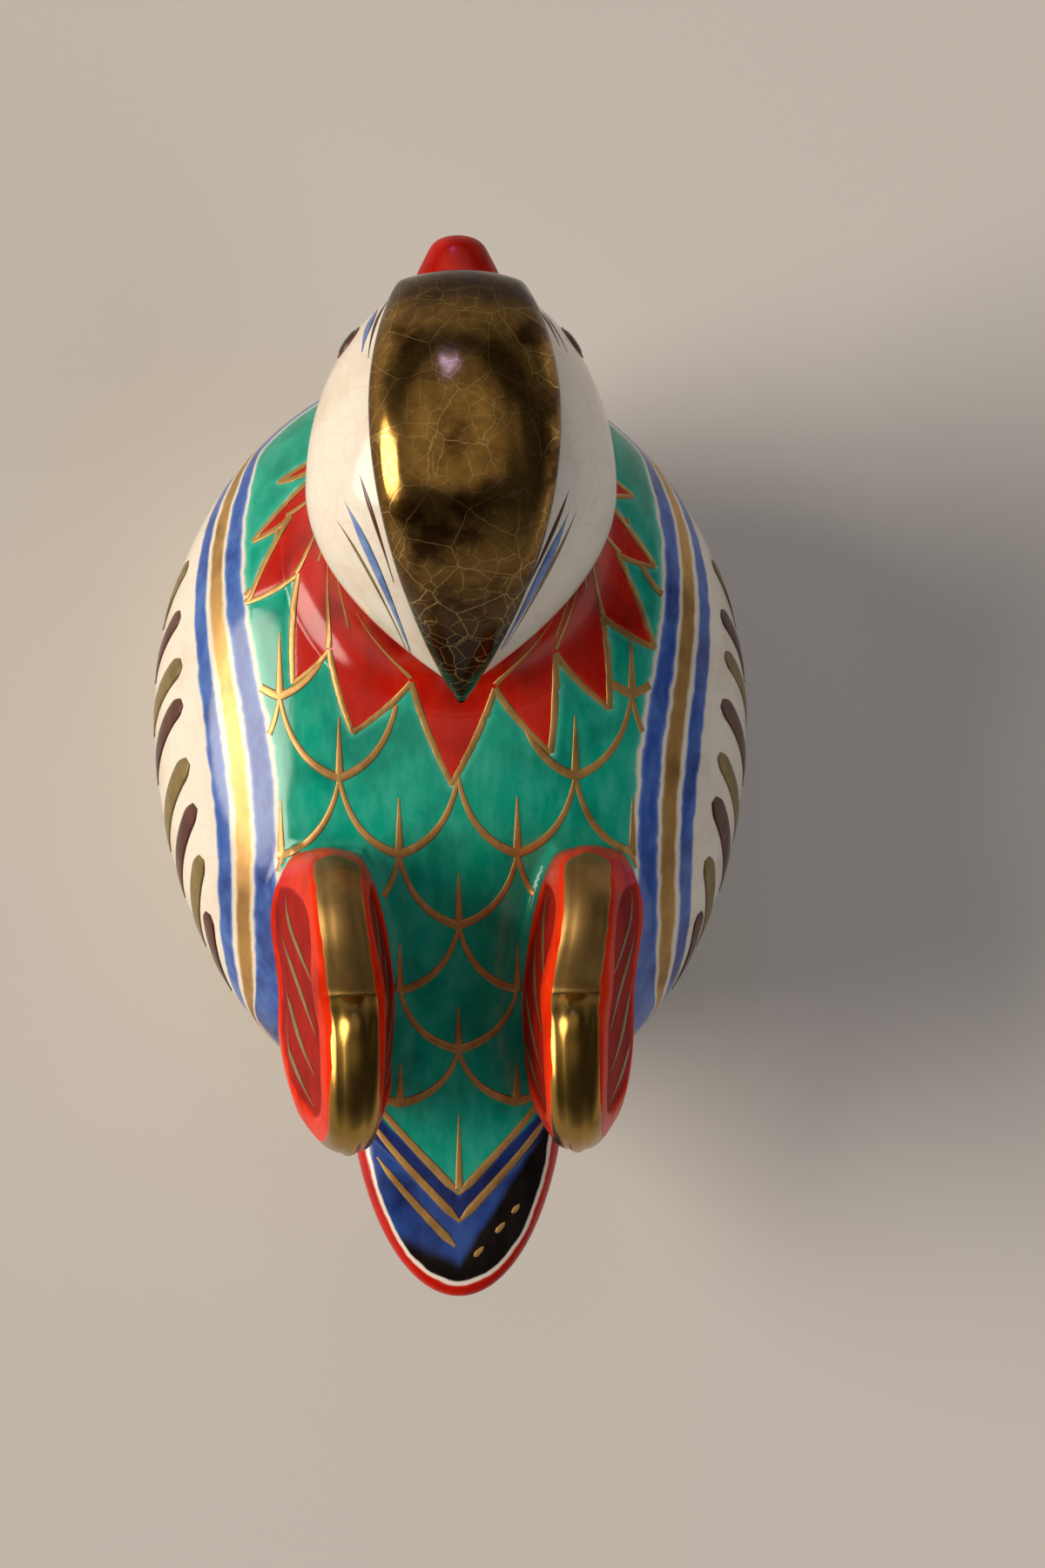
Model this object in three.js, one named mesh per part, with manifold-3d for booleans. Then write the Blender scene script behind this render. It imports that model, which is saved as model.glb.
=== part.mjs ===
// Mandarin duck incense box: a hollow pottery egg cut in two at its widest line. The lower half is the box, the
// upper half the lid, and the lid carries a neck, a head with a raised crest, a bill, two eye pellets, two upright
// sail feathers and a tail, each a clay piece of its own that is luted on.
// Millimetres. +Z is up, +Y points to the bill, +X is the duck's right. The origin is on the table, under the
// body's widest station.
import * as THREE from "three";
import { mergeVertices } from "three/addons/utils/BufferGeometryUtils.js";
import Module from "manifold-3d";

// Driving dimensions: the body
const BODY_HALF_WIDTH = 25;
const BREAST_REACH = 30; // widest station to the front of the breast
const RUMP_REACH = 34; // widest station to the end of the rump
const SEAM_HEIGHT = 21; // table to the mouth of the box
const BACK_RISE = 16; // mouth of the box to the top of the back
const BASE_TRIM = 4; // what the flat base takes off the round belly
const BODY_FULLNESS = 2.2; // 2 is an ellipse, more is fuller in the flanks
const BOX_WALL = 3.2;
const FLOOR_THICKNESS = 3.5;

// Driving dimensions: the seat of the lid
const SEAM_GAP = 0.3; // lid's edge above the box's edge
const RIM_HEIGHT = 3; // rim above the mouth
const RIM_DEPTH = 4; // rim below the mouth
const RIM_THICKNESS = 1.8;
const RIM_CLEARANCE = 0.5; // rim to the inside of the lid
const LUTE_GAP = 0.3; // slip layer between two luted pieces

// Driving dimensions: neck and head
const NECK_SETBACK = 17; // front of the breast back to the neck's centre
const NECK_WAIST_RADIUS = 9.8;
const NECK_FOOT_RADIUS = 13;
const NECK_FOOT_EDGE = 0.7; // thickness of the foot's rim
const NECK_FLARE_HEIGHT = 6; // height over which the foot runs in to the waist
const HEAD_STANDOFF = 14.2; // back to the head's centre, along the neck
const HEAD_HALF_WIDTH = 11.7;
const HEAD_RISE = 10.5; // head's centre to the crown
const HEAD_DROP = 9.5; // head's centre to the throat
const FACE_REACH = 16; // head's centre to the face
const NAPE_REACH = 14.8; // head's centre to the tip of the nape
const NAPE_TAPER = 2; // how soon the nape draws in to its tip
const NAPE_DROOP = 4; // how far the tip hangs below the head's centre

// Driving dimensions: what the head carries
const CREST_THICKNESS = 1.2;
const CREST_HALF_WIDTH = 7;
const CREST_WIDEST = 5; // head's centre forward to the crest's widest place
const CREST_SHOULDER = 9.5; // widest place back to where the leaf starts to draw in
const CREST_POINT_LENGTH = 4; // length of the slim point
const CREST_POINT_HALF_WIDTH = 3.2; // half width that the point runs out to
const CREST_BROW_HALF_WIDTH = 4.2; // crest's half width at the brow
const CREST_BROW_SETBACK = 0.6; // face to the corners of the crest's front edge
const BILL_HALF_WIDTH = 3.6;
const BILL_HALF_HEIGHT = 2.3;
const BILL_REACH = 3.9; // face to the bill's tip
const BILL_ROOT = 4.6; // how far the bill runs back past the face
const BILL_LEVEL = 3; // bill's middle below the head's centre
const BILL_FULLNESS = 2.8; // 2 is an ellipse, more is squarer at the tip
const EYE_RADIUS = 1.7;
const EYE_STANDOUT = 0.5; // how far a pellet stands out of the cheek
const EYE_ADVANCE = 10.3; // head's centre forward to the eyes
const EYE_LEVEL = 2; // eyes above the head's centre line

// Driving dimensions: sail feathers
const SAIL_SPREAD = 9.6; // middle of the back to the middle of a sail's foot
const SAIL_FRONT = 11; // widest station back to the sail's front
const SAIL_LENGTH = 23.5;
const SAIL_HEIGHT = 13.5; // back at the sail's front to the top of the front lobe
const SAIL_CROWN = 6; // front back to the top of the front lobe
const SAIL_NOTCH = 11.5; // front back to the notch
const SAIL_NOTCH_DEPTH = 2.2; // front lobe's top down to the notch
const SAIL_REAR_CROWN = 16; // front back to the top of the rear lobe
const SAIL_REAR_DROP = 0.6; // front lobe's top down to the rear lobe's top
const SAIL_REAR_TIP = 5; // back at the sail's front up to the rear end
const SAIL_HEEL = 12; // front back to where the heel would meet the lid's edge
const SAIL_FOOT_THICKNESS = 9;
const SAIL_EDGE_THICKNESS = 3.8;
const SAIL_BEVEL = 0.8;
const SAIL_LEAN = 0.09; // sideways lean towards the middle, per millimetre of height

// Driving dimensions: the tail
const TAIL_OVERHANG = 13.3; // end of the rump to the tail's tip
const TAIL_SEAT = 6; // end of the rump forward to the tail's widest station
const TAIL_HALF_WIDTH = 9;
const TAIL_LIFT = 6.4; // lid's edge to the middle of the tail
const TAIL_THICKNESS = 8.8; // at the widest station
const TAIL_TIP_THICKNESS = 4.4;
const TAIL_UPSWEEP = 2; // rise of the tip over the root
const TAIL_BLUNTNESS = 4; // 2 is a sharp rim, more is a blunter one

// Facet counts
const BODY_STEPS_ROUND = 48;
const BODY_STEPS_HIGH = 20;
const HEAD_STEPS_ROUND = 32;
const HEAD_STEPS_LONG = 20;
const SMALL_STEPS = 10;
const CURVE_STEPS = 6;
const BEVEL_STEPS = 2;

// Sizes that follow from the driving dimensions
const BELLY_DROP = SEAM_HEIGHT + BASE_TRIM;
const RIM_OUTER_INSET = BOX_WALL + LUTE_GAP;
const RIM_INNER_INSET = RIM_OUTER_INSET + RIM_THICKNESS;
const LID_WALL = RIM_OUTER_INSET - RIM_CLEARANCE;
const LID_EDGE = SEAM_HEIGHT + SEAM_GAP;
const BEYOND = 2 * (BODY_HALF_WIDTH + BREAST_REACH + RUMP_REACH); // larger than the whole object

const wasm = await Module();
wasm.setup();

// Solids and booleans

// A closed three.js geometry as a solid for cutting and joining.
function solidOf(geometry) {
  const bare = geometry.clone();
  bare.deleteAttribute("normal");
  bare.deleteAttribute("uv");
  const merged = mergeVertices(bare, 1e-4);
  return new wasm.Manifold(
    new wasm.Mesh({
      numProp: 3,
      vertProperties: merged.attributes.position.array,
      triVerts: new Uint32Array(merged.index.array),
    }),
  );
}

// A solid as a three.js geometry again.
function geometryOf(solid) {
  const { vertProperties, triVerts } = solid.getMesh();
  return new THREE.BufferGeometry()
    .setAttribute("position", new THREE.BufferAttribute(vertProperties, 3))
    .setIndex(new THREE.BufferAttribute(triVerts, 1));
}

// Moves each vertex of a geometry to where the function puts it.
function reshape(geometry, place) {
  const position = geometry.attributes.position;
  const point = new THREE.Vector3();
  for (let i = 0; i < position.count; i += 1) {
    place(point.fromBufferAttribute(position, i));
    position.setXYZ(i, point.x, point.y, point.z);
  }
  return geometry;
}

// A coordinate of the unit circle, moved out to a fuller curve. A fullness of 2 leaves it as it is.
function fuller(coordinate, fullness) {
  return Math.sign(coordinate) * Math.abs(coordinate) ** (2 / fullness);
}

// All space between two levels, as a slab wider than the object.
function slab(low, high) {
  const block = new THREE.BoxGeometry(BEYOND, BEYOND, high - low);
  return solidOf(block.translate(0, 0, (low + high) / 2));
}

// The body

// The whole egg of the body, drawn in by the inset on every side. A negative inset swells it.
function egg(inset) {
  const ball = new THREE.SphereGeometry(1, BODY_STEPS_ROUND, BODY_STEPS_HIGH).rotateX(Math.PI / 2);
  return reshape(ball, (p) => {
    const across = Math.hypot(p.x, p.y);
    const spread = across > 0 ? fuller(across, BODY_FULLNESS) / across : 0;
    const reach = p.y > 0 ? BREAST_REACH : RUMP_REACH;
    const depth = p.z > 0 ? BACK_RISE : BELLY_DROP;
    p.x *= spread * (BODY_HALF_WIDTH - inset);
    p.y *= spread * (reach - inset);
    p.z = SEAM_HEIGHT + fuller(p.z, BODY_FULLNESS) * (depth - inset);
  });
}

// Height of the back above the table at a place in the plan.
function backHeight(x, y) {
  const reach = y > 0 ? BREAST_REACH : RUMP_REACH;
  const across = Math.hypot(x / BODY_HALF_WIDTH, y / reach);
  return SEAM_HEIGHT + BACK_RISE * Math.max(0, 1 - across ** BODY_FULLNESS) ** (1 / BODY_FULLNESS);
}

const wholeEgg = solidOf(egg(0));
const lutedEgg = solidOf(egg(-LUTE_GAP)); // cuts what is luted on the body

function boxShell() {
  const bowl = wholeEgg.intersect(slab(0, SEAM_HEIGHT));
  const hollow = solidOf(egg(BOX_WALL)).intersect(slab(FLOOR_THICKNESS, BEYOND));
  return geometryOf(bowl.subtract(hollow));
}

function seatRim() {
  const strip = solidOf(egg(RIM_OUTER_INSET)).subtract(solidOf(egg(RIM_INNER_INSET)));
  return geometryOf(strip.intersect(slab(SEAM_HEIGHT - RIM_DEPTH, SEAM_HEIGHT + RIM_HEIGHT)));
}

function lidShell() {
  const dome = wholeEgg.intersect(slab(LID_EDGE, BEYOND));
  return geometryOf(dome.subtract(solidOf(egg(LID_WALL))));
}

// The neck stands square to the back at its station

const NECK_STATION = BREAST_REACH - NECK_SETBACK;
const NECK_FOOT = new THREE.Vector3(0, NECK_STATION, backHeight(0, NECK_STATION));
const SLOPE_STEP = BREAST_REACH / 1000;
const BACK_SLOPE = (backHeight(0, NECK_STATION + SLOPE_STEP) - NECK_FOOT.z) / SLOPE_STEP;
const NECK_TILT = Math.atan(BACK_SLOPE); // turn about X that leans the neck forward
const NECK_AXIS = new THREE.Vector3(0, 0, 1).applyAxisAngle(new THREE.Vector3(1, 0, 0), NECK_TILT);
const HEAD_CENTRE = NECK_FOOT.clone().addScaledVector(NECK_AXIS, HEAD_STANDOFF);

// The neck is a turned flare whose foot is bent down to follow the round of the back.
function neck() {
  const flare = new THREE.QuadraticBezierCurve(
    new THREE.Vector2(NECK_FOOT_RADIUS, LUTE_GAP + NECK_FOOT_EDGE),
    new THREE.Vector2(NECK_WAIST_RADIUS, LUTE_GAP + NECK_FOOT_EDGE),
    new THREE.Vector2(NECK_WAIST_RADIUS, NECK_FLARE_HEIGHT),
  );
  const profile = [
    new THREE.Vector2(0, -NECK_FOOT_EDGE),
    new THREE.Vector2(NECK_FOOT_RADIUS, -NECK_FOOT_EDGE),
    ...flare.getPoints(CURVE_STEPS),
    new THREE.Vector2(NECK_WAIST_RADIUS, HEAD_STANDOFF),
    new THREE.Vector2(0, HEAD_STANDOFF),
  ];
  const turned = new THREE.LatheGeometry(profile, HEAD_STEPS_ROUND).rotateX(Math.PI / 2 + NECK_TILT);
  turned.translate(NECK_FOOT.x, NECK_FOOT.y, NECK_FOOT.z);
  reshape(turned, (p) => {
    const climb = p.clone().sub(NECK_FOOT).dot(NECK_AXIS);
    const flat = NECK_FOOT.z + BACK_SLOPE * (p.y - NECK_FOOT.y);
    const bend = THREE.MathUtils.clamp(1 - climb / NECK_FLARE_HEIGHT, 0, 1);
    p.z += bend * (backHeight(p.x, p.y) - flat);
  });
  return geometryOf(solidOf(turned).subtract(lutedEgg).subtract(lutedHead));
}

// The head and what it carries

// The head with its drawn-out nape, drawn in by the inset on every side. A negative inset swells it.
function headForm(inset, drop = HEAD_DROP - inset) {
  const ball = new THREE.SphereGeometry(1, HEAD_STEPS_ROUND, HEAD_STEPS_LONG);
  return reshape(ball, (p) => {
    const station = p.y;
    const ring = Math.hypot(p.x, p.z);
    const behind = Math.max(0, -station);
    const size = station > 0 ? ring : 1 - behind ** NAPE_TAPER;
    const across = ring > 0 ? size / ring : 0;
    const reach = station > 0 ? FACE_REACH : NAPE_REACH;
    const rise = p.z > 0 ? HEAD_RISE - inset : drop;
    p.x *= across * (HEAD_HALF_WIDTH - inset);
    p.y = HEAD_CENTRE.y + station * (reach - inset);
    p.z = HEAD_CENTRE.z - NAPE_DROOP * behind ** 2 + p.z * across * rise;
  });
}

const lutedHead = solidOf(headForm(-LUTE_GAP)); // cuts what is luted on the head

// The crest's outline from above: a leaf from a round front edge at the brow to the tip of the nape.
function crestOutline() {
  const tip = HEAD_CENTRE.y - NAPE_REACH - CREST_THICKNESS;
  const widest = HEAD_CENTRE.y + CREST_WIDEST;
  const face = HEAD_CENTRE.y + FACE_REACH;
  const brow = face - CREST_BROW_SETBACK;
  const leaf = new THREE.Shape().moveTo(0, tip);
  leaf.bezierCurveTo(
    CREST_POINT_HALF_WIDTH,
    tip + CREST_POINT_LENGTH,
    CREST_HALF_WIDTH,
    widest - CREST_SHOULDER,
    CREST_HALF_WIDTH,
    widest,
  );
  leaf.quadraticCurveTo(CREST_HALF_WIDTH, (widest + brow) / 2, CREST_BROW_HALF_WIDTH, brow);
  leaf.quadraticCurveTo(0, face + CREST_BROW_SETBACK, -CREST_BROW_HALF_WIDTH, brow);
  leaf.quadraticCurveTo(-CREST_HALF_WIDTH, (widest + brow) / 2, -CREST_HALF_WIDTH, widest);
  leaf.bezierCurveTo(
    -CREST_HALF_WIDTH,
    widest - CREST_SHOULDER,
    -CREST_POINT_HALF_WIDTH,
    tip + CREST_POINT_LENGTH,
    0,
    tip,
  );
  return leaf;
}

function crest() {
  const cutter = new THREE.ExtrudeGeometry(crestOutline(), {
    depth: BEYOND,
    bevelEnabled: false,
    curveSegments: CURVE_STEPS,
  });
  const cap = solidOf(headForm(-LUTE_GAP - CREST_THICKNESS, LUTE_GAP));
  return geometryOf(cap.intersect(solidOf(cutter)).subtract(lutedHead));
}

function bill() {
  const length = BILL_REACH + BILL_ROOT;
  const ball = new THREE.SphereGeometry(1, 2 * SMALL_STEPS, SMALL_STEPS);
  reshape(ball, (p) => {
    p.x = fuller(p.x, BILL_FULLNESS) * BILL_HALF_WIDTH;
    p.y = HEAD_CENTRE.y + FACE_REACH - BILL_ROOT + fuller(p.y, BILL_FULLNESS) * length;
    p.z = HEAD_CENTRE.z - BILL_LEVEL + p.z * BILL_HALF_HEIGHT;
  });
  return geometryOf(solidOf(ball).subtract(lutedHead));
}

// An eye pellet, mostly sunk in the cheek. The side is 1 for the duck's right and -1 for its left.
function eye(side) {
  const narrowing = Math.sqrt(1 - (EYE_ADVANCE / FACE_REACH) ** 2);
  const cheek = HEAD_HALF_WIDTH * Math.sqrt(narrowing ** 2 - (EYE_LEVEL / HEAD_RISE) ** 2);
  const pellet = new THREE.SphereGeometry(EYE_RADIUS, SMALL_STEPS, SMALL_STEPS);
  pellet.translate(
    side * (cheek + EYE_STANDOUT + LUTE_GAP - EYE_RADIUS),
    HEAD_CENTRE.y + EYE_ADVANCE,
    HEAD_CENTRE.z + EYE_LEVEL,
  );
  return geometryOf(solidOf(pellet).subtract(lutedHead));
}

// Sail feathers and tail

const SAIL_FOOT = backHeight(SAIL_SPREAD, -SAIL_FRONT); // level of the back at a sail's front

// A sail's outline from the side, as (along the body, up), with a notch between its front and rear lobes.
function sailOutline() {
  const front = -SAIL_FRONT;
  const notch = front - SAIL_NOTCH;
  const rear = front - SAIL_LENGTH;
  const top = SAIL_FOOT + SAIL_HEIGHT;
  const rearTop = top - SAIL_REAR_DROP;
  const outline = new THREE.Shape().moveTo(front, LID_EDGE);
  outline.lineTo(front, SAIL_FOOT);
  outline.quadraticCurveTo(front, top, front - SAIL_CROWN, top);
  outline.quadraticCurveTo(notch, top, notch, top - SAIL_NOTCH_DEPTH);
  outline.quadraticCurveTo(notch, rearTop, front - SAIL_REAR_CROWN, rearTop);
  outline.quadraticCurveTo(rear, rearTop, rear, SAIL_FOOT + SAIL_REAR_TIP);
  outline.quadraticCurveTo(rear, SAIL_FOOT, front - SAIL_HEEL, LID_EDGE);
  return outline;
}

// One sail, thick at its foot and thin at its edge. The side is 1 for the duck's right and -1 for its left.
function sail(side) {
  const slice = SAIL_FOOT_THICKNESS - 2 * SAIL_BEVEL;
  const blade = new THREE.ExtrudeGeometry(sailOutline(), {
    depth: slice,
    curveSegments: CURVE_STEPS,
    bevelThickness: SAIL_BEVEL,
    bevelSize: SAIL_BEVEL,
    bevelOffset: -SAIL_BEVEL,
    bevelSegments: BEVEL_STEPS,
  });
  reshape(blade, (p) => {
    const [along, up, through] = [p.x, p.y, p.z - slice / 2];
    const climb = THREE.MathUtils.clamp((up - SAIL_FOOT) / SAIL_HEIGHT, 0, 1);
    const thinning = THREE.MathUtils.lerp(1, SAIL_EDGE_THICKNESS / SAIL_FOOT_THICKNESS, climb);
    p.x = side * SAIL_SPREAD + through * thinning - side * SAIL_LEAN * (up - SAIL_FOOT);
    p.y = along;
    p.z = up;
  });
  return geometryOf(solidOf(blade).subtract(lutedEgg).subtract(solidOf(tailForm(LUTE_GAP))));
}

// The uncut tail, a blunt-edged leaf with a round root inside the rump, which sweeps up to its tip. It is swollen
// on every side by the given amount.
function tailForm(swell) {
  const ball = new THREE.SphereGeometry(1, HEAD_STEPS_ROUND, HEAD_STEPS_LONG).rotateX(Math.PI / 2);
  return reshape(ball, (p) => {
    const behind = Math.max(0, -p.y);
    const reach = p.y > 0 ? TAIL_HALF_WIDTH : TAIL_SEAT + TAIL_OVERHANG;
    const thickness = THREE.MathUtils.lerp(TAIL_THICKNESS, TAIL_TIP_THICKNESS, behind);
    const level = LID_EDGE + TAIL_LIFT + TAIL_UPSWEEP * behind ** 2;
    p.x *= TAIL_HALF_WIDTH + swell;
    p.y = TAIL_SEAT - RUMP_REACH + p.y * (reach + swell);
    p.z = level + fuller(p.z, TAIL_BLUNTNESS) * (thickness / 2 + swell);
  });
}

function tail() {
  return geometryOf(solidOf(tailForm(0)).subtract(lutedEgg));
}

// Finishes and assembly

// A finish from its sRGB colour, its roughness and how metallic it is.
function finish(color, roughness, metalness = 0) {
  return new THREE.MeshStandardMaterial({ color, roughness, metalness });
}

const whiteGlaze = finish("#efe6d6", 0.2);
const bareClay = finish("#d8c6a8", 0.8);
const greenEnamel = finish("#0f9e7a", 0.2);
const redEnamel = finish("#b3200f", 0.25);
const blueEnamel = finish("#27408f", 0.25);
const blackEnamel = finish("#17120f", 0.2);
const gilding = finish("#a9822f", 0.25, 1);

// Adds one named piece to a group.
function place(group, name, geometry, material) {
  const mesh = new THREE.Mesh(geometry, material);
  mesh.name = name;
  group.add(mesh);
}

const box = new THREE.Group();
place(box, "box_shell", boxShell(), whiteGlaze);
place(box, "seat_rim", seatRim(), bareClay);

const lid = new THREE.Group();
place(lid, "lid_shell", lidShell(), greenEnamel);
place(lid, "neck", neck(), redEnamel);
place(lid, "head", geometryOf(solidOf(headForm(0))), whiteGlaze);
place(lid, "crest", crest(), gilding);
place(lid, "bill", bill(), redEnamel);
place(lid, "tail", tail(), blueEnamel);
for (const [word, side] of [["left", -1], ["right", 1]]) {
  place(lid, `eye_${word}`, eye(side), blackEnamel);
  place(lid, `sail_${word}`, sail(side), redEnamel);
}

const duck = new THREE.Group();
duck.add(box, lid);

export default duck;
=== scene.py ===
"""Dresses the duck incense box: glazed and enamelled pottery in the form of a sitting mandarin drake."""
import logging
import math
from dataclasses import dataclass
from enum import Enum
from typing import Optional, Sequence

import bpy
import numpy as np
from mathutils import Matrix, Vector


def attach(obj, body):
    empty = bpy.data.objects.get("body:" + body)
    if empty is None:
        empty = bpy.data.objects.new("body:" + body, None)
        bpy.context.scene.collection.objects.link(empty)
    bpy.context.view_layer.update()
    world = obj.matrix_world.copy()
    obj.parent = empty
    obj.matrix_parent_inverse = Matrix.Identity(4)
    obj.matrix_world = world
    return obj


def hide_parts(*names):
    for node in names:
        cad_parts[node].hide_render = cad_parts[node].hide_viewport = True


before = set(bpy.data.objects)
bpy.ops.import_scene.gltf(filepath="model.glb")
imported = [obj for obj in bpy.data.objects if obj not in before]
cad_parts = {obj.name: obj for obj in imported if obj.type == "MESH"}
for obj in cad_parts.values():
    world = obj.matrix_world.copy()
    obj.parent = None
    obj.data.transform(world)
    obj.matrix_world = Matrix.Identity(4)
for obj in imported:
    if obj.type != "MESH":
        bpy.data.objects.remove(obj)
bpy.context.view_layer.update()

LOG = logging.getLogger("duck_incense_box")
MM = 0.001  # the sizes below are in millimetres, the scene is in metres
FAR = 40.0  # a distance in millimetres at which no paint of a neighbouring field shows

Array = np.ndarray
Fields = dict[str, list[Array]]
Finish = bpy.types.Material
Piece = bpy.types.Object
Socket = bpy.types.NodeSocket
Strokes = list[tuple[Array, Array]]
Tree = bpy.types.NodeTree


class Body(Enum):
    """The two bodies that come apart."""

    BOX = "box"
    LID = "lid"


class Side(Enum):
    """The duck's own sides, with the sign of X on each."""

    LEFT = -1
    RIGHT = 1


# Helpers for numbers and curves


def linear(code: str) -> tuple[float, float, float, float]:
    """Turns an sRGB hex colour into a linear one.

    Args:
        code: Six hex digits after a hash sign.

    Returns:
        Linear red, green, blue and an alpha of one.
    """
    parts = [int(code[i : i + 2], 16) / 255 for i in (1, 3, 5)]
    flat = [c / 12.92 if c <= 0.04045 else ((c + 0.055) / 1.055) ** 2.4 for c in parts]
    return (flat[0], flat[1], flat[2], 1.0)


def ease(low: float, high: float, value: Array) -> Array:
    """Rises smoothly from 0 at low to 1 at high.

    Args:
        low: Value that gives 0.
        high: Value that gives 1.
        value: Numbers to ease.

    Returns:
        Numbers from 0 to 1.
    """
    share = np.clip((value - low) / (high - low), 0, 1)
    return share * share * (3 - 2 * share)


def once_round(count: int) -> Array:
    """Gives evenly spaced angles once round a circle."""
    return np.linspace(0, 2 * math.pi, count, endpoint=False)


def bezier(points: Sequence[Sequence[float]], count: int = 24) -> Array:
    """Samples a quadratic or cubic curve.

    Args:
        points: Three or four control points.
        count: Number of samples, ends included.

    Returns:
        The samples, one to a row.
    """
    hull = [np.array(p, float)[None, :] for p in points]
    step = np.linspace(0, 1, count)[:, None]
    while len(hull) > 1:
        hull = [a + (b - a) * step for a, b in zip(hull, hull[1:])]
    return hull[0]


def even_loop(points: Array, count: int, soften: float) -> Array:
    """Spaces a closed outline evenly and rounds its corners.

    Args:
        points: Corners in order, without the first again at the end.
        count: Number of points wanted.
        soften: Length over which a corner is rounded.

    Returns:
        The evenly spaced outline.
    """
    ring = np.vstack([points, points[:1]])
    run = np.concatenate([[0], np.cumsum(np.linalg.norm(np.diff(ring, axis=0), axis=1))])
    stops = np.linspace(0, run[-1], count, endpoint=False)
    loop = np.stack([np.interp(stops, run, ring[:, k]) for k in range(points.shape[1])], axis=1)
    reach = max(1, round(soften / (run[-1] / count)))
    offsets = np.arange(-3 * reach, 3 * reach + 1)
    weights = np.exp(-0.5 * (offsets / reach) ** 2)
    rolled = [w * np.roll(loop, o, axis=0) for w, o in zip(weights / weights.sum(), offsets)]
    return np.sum(rolled, axis=0)


def distance_to(points: Array, outline: Array) -> Array:
    """Measures how far points in a plane lie from a closed outline.

    Args:
        points: Points as rows of two numbers.
        outline: Corners of the outline in order.

    Returns:
        One distance for each point, negative inside the outline.
    """
    start = outline
    along = np.roll(outline, -1, axis=0) - start
    length = np.maximum((along**2).sum(1), 1e-12)
    found = np.empty(len(points))
    batch = 4000
    for first in range(0, len(points), batch):
        part = points[first : first + batch]
        gap = part[:, None, :] - start[None]
        share = np.clip((gap * along).sum(2) / length, 0, 1)
        near = np.linalg.norm(gap - share[..., None] * along, axis=2).min(1)
        straddles = (gap[..., 1] >= 0) != (gap[..., 1] - along[:, 1] >= 0)
        turn = along[:, 0] * gap[..., 1] - along[:, 1] * gap[..., 0]
        crossed = straddles & ((turn > 0) == (along[:, 1] > 0))
        found[first : first + batch] = np.where(crossed.sum(1) % 2 == 1, -near, near)
    return found


# Helpers for meshes and nodes


def add(
    tree: Tree, kind: str, feeds: Optional[dict] = None, out: int | str = 0, **settings
) -> Optional[Socket]:
    """Adds a node with its settings and what feeds it.

    Args:
        tree: Node tree that takes the node.
        kind: Blender's name of the node.
        feeds: Value or socket for each input, by the input's name or number.
        out: Name or number of the output wanted.
        **settings: Properties of the node.

    Returns:
        The output, or None if the node has none.
    """
    made = tree.nodes.new(kind)
    for name, value in settings.items():
        setattr(made, name, value)
    for key, value in (feeds or {}).items():
        if isinstance(value, Socket):
            tree.links.new(value, made.inputs[key])
        else:
            made.inputs[key].default_value = value
    return made.outputs[out] if len(made.outputs) else None


def placed(name: str, data: bpy.types.ID) -> Piece:
    """Puts a new object in the scene.

    Args:
        name: Name of the object.
        data: Its mesh, lamp or camera.

    Returns:
        The new object.
    """
    made = bpy.data.objects.new(name, data)
    bpy.context.scene.collection.objects.link(made)
    return made


def closed_mesh(name: str, rows: list[Array], fields: Fields, ring: bool = False) -> Piece:
    """Makes a closed smooth mesh from rows of points.

    Args:
        name: Name of the new object.
        rows: Rows of points in millimetres, each closed on itself. A row of one point is a pole.
        fields: Numbers for each point, row by row, kept as attributes of the mesh.
        ring: Whether the last row joins the first.

    Returns:
        The new object, in the scene.
    """
    points = np.vstack(rows) * MM
    starts = np.concatenate([[0], np.cumsum([len(r) for r in rows])])
    pairs = list(zip(range(len(rows) - 1), range(1, len(rows))))
    if ring:
        pairs.append((len(rows) - 1, 0))
    faces: list[list[int]] = []
    for upper, lower in pairs:
        count = max(len(rows[upper]), len(rows[lower]))
        here = np.arange(count)
        after = (here + 1) % count
        a, b = starts[upper], starts[lower]
        if len(rows[upper]) == 1:
            corners = np.stack([np.full(count, a), b + here, b + after], axis=1)
        elif len(rows[lower]) == 1:
            corners = np.stack([a + here, np.full(count, b), a + after], axis=1)
        else:
            corners = np.stack([a + here, b + here, b + after, a + after], axis=1)
        faces.extend(corners.tolist())
    first = np.array([f[:3] for f in faces])
    last = np.array([[f[0], f[2], f[-1]] for f in faces])
    volume = sum(
        np.einsum("ij,ij->i", points[t[:, 0]], np.cross(points[t[:, 1]], points[t[:, 2]])).sum()
        for t in (first, last[[len(f) == 4 for f in faces]])
    )
    if volume < 0:
        faces = [f[::-1] for f in faces]
    mesh = bpy.data.meshes.new(name)
    mesh.from_pydata(points.tolist(), [], faces)
    for field, values in fields.items():
        layer = mesh.attributes.new(field, "FLOAT", "POINT")
        layer.data.foreach_set("value", np.concatenate(values).astype(np.float32))
    mesh.shade_smooth()
    return placed(name, mesh)


def settle(
    piece: Piece, body: Body, finish: Optional[Finish] = None, nodes: Sequence[str] = ()
) -> Piece:
    """Gives a piece its finish and its place on a body.

    Args:
        piece: Finished object.
        body: Body that carries it.
        finish: Material, if the mesh doesn't have one yet.
        nodes: CAD nodes that the piece stands for.

    Returns:
        The same piece.
    """
    if finish is not None:
        piece.data.materials.clear()
        piece.data.materials.append(finish)
    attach(piece, body.value)
    if nodes:
        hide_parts(*nodes)
    LOG.info("%s on %s, %d faces", piece.name, body.value, len(piece.data.polygons))
    return piece


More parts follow.
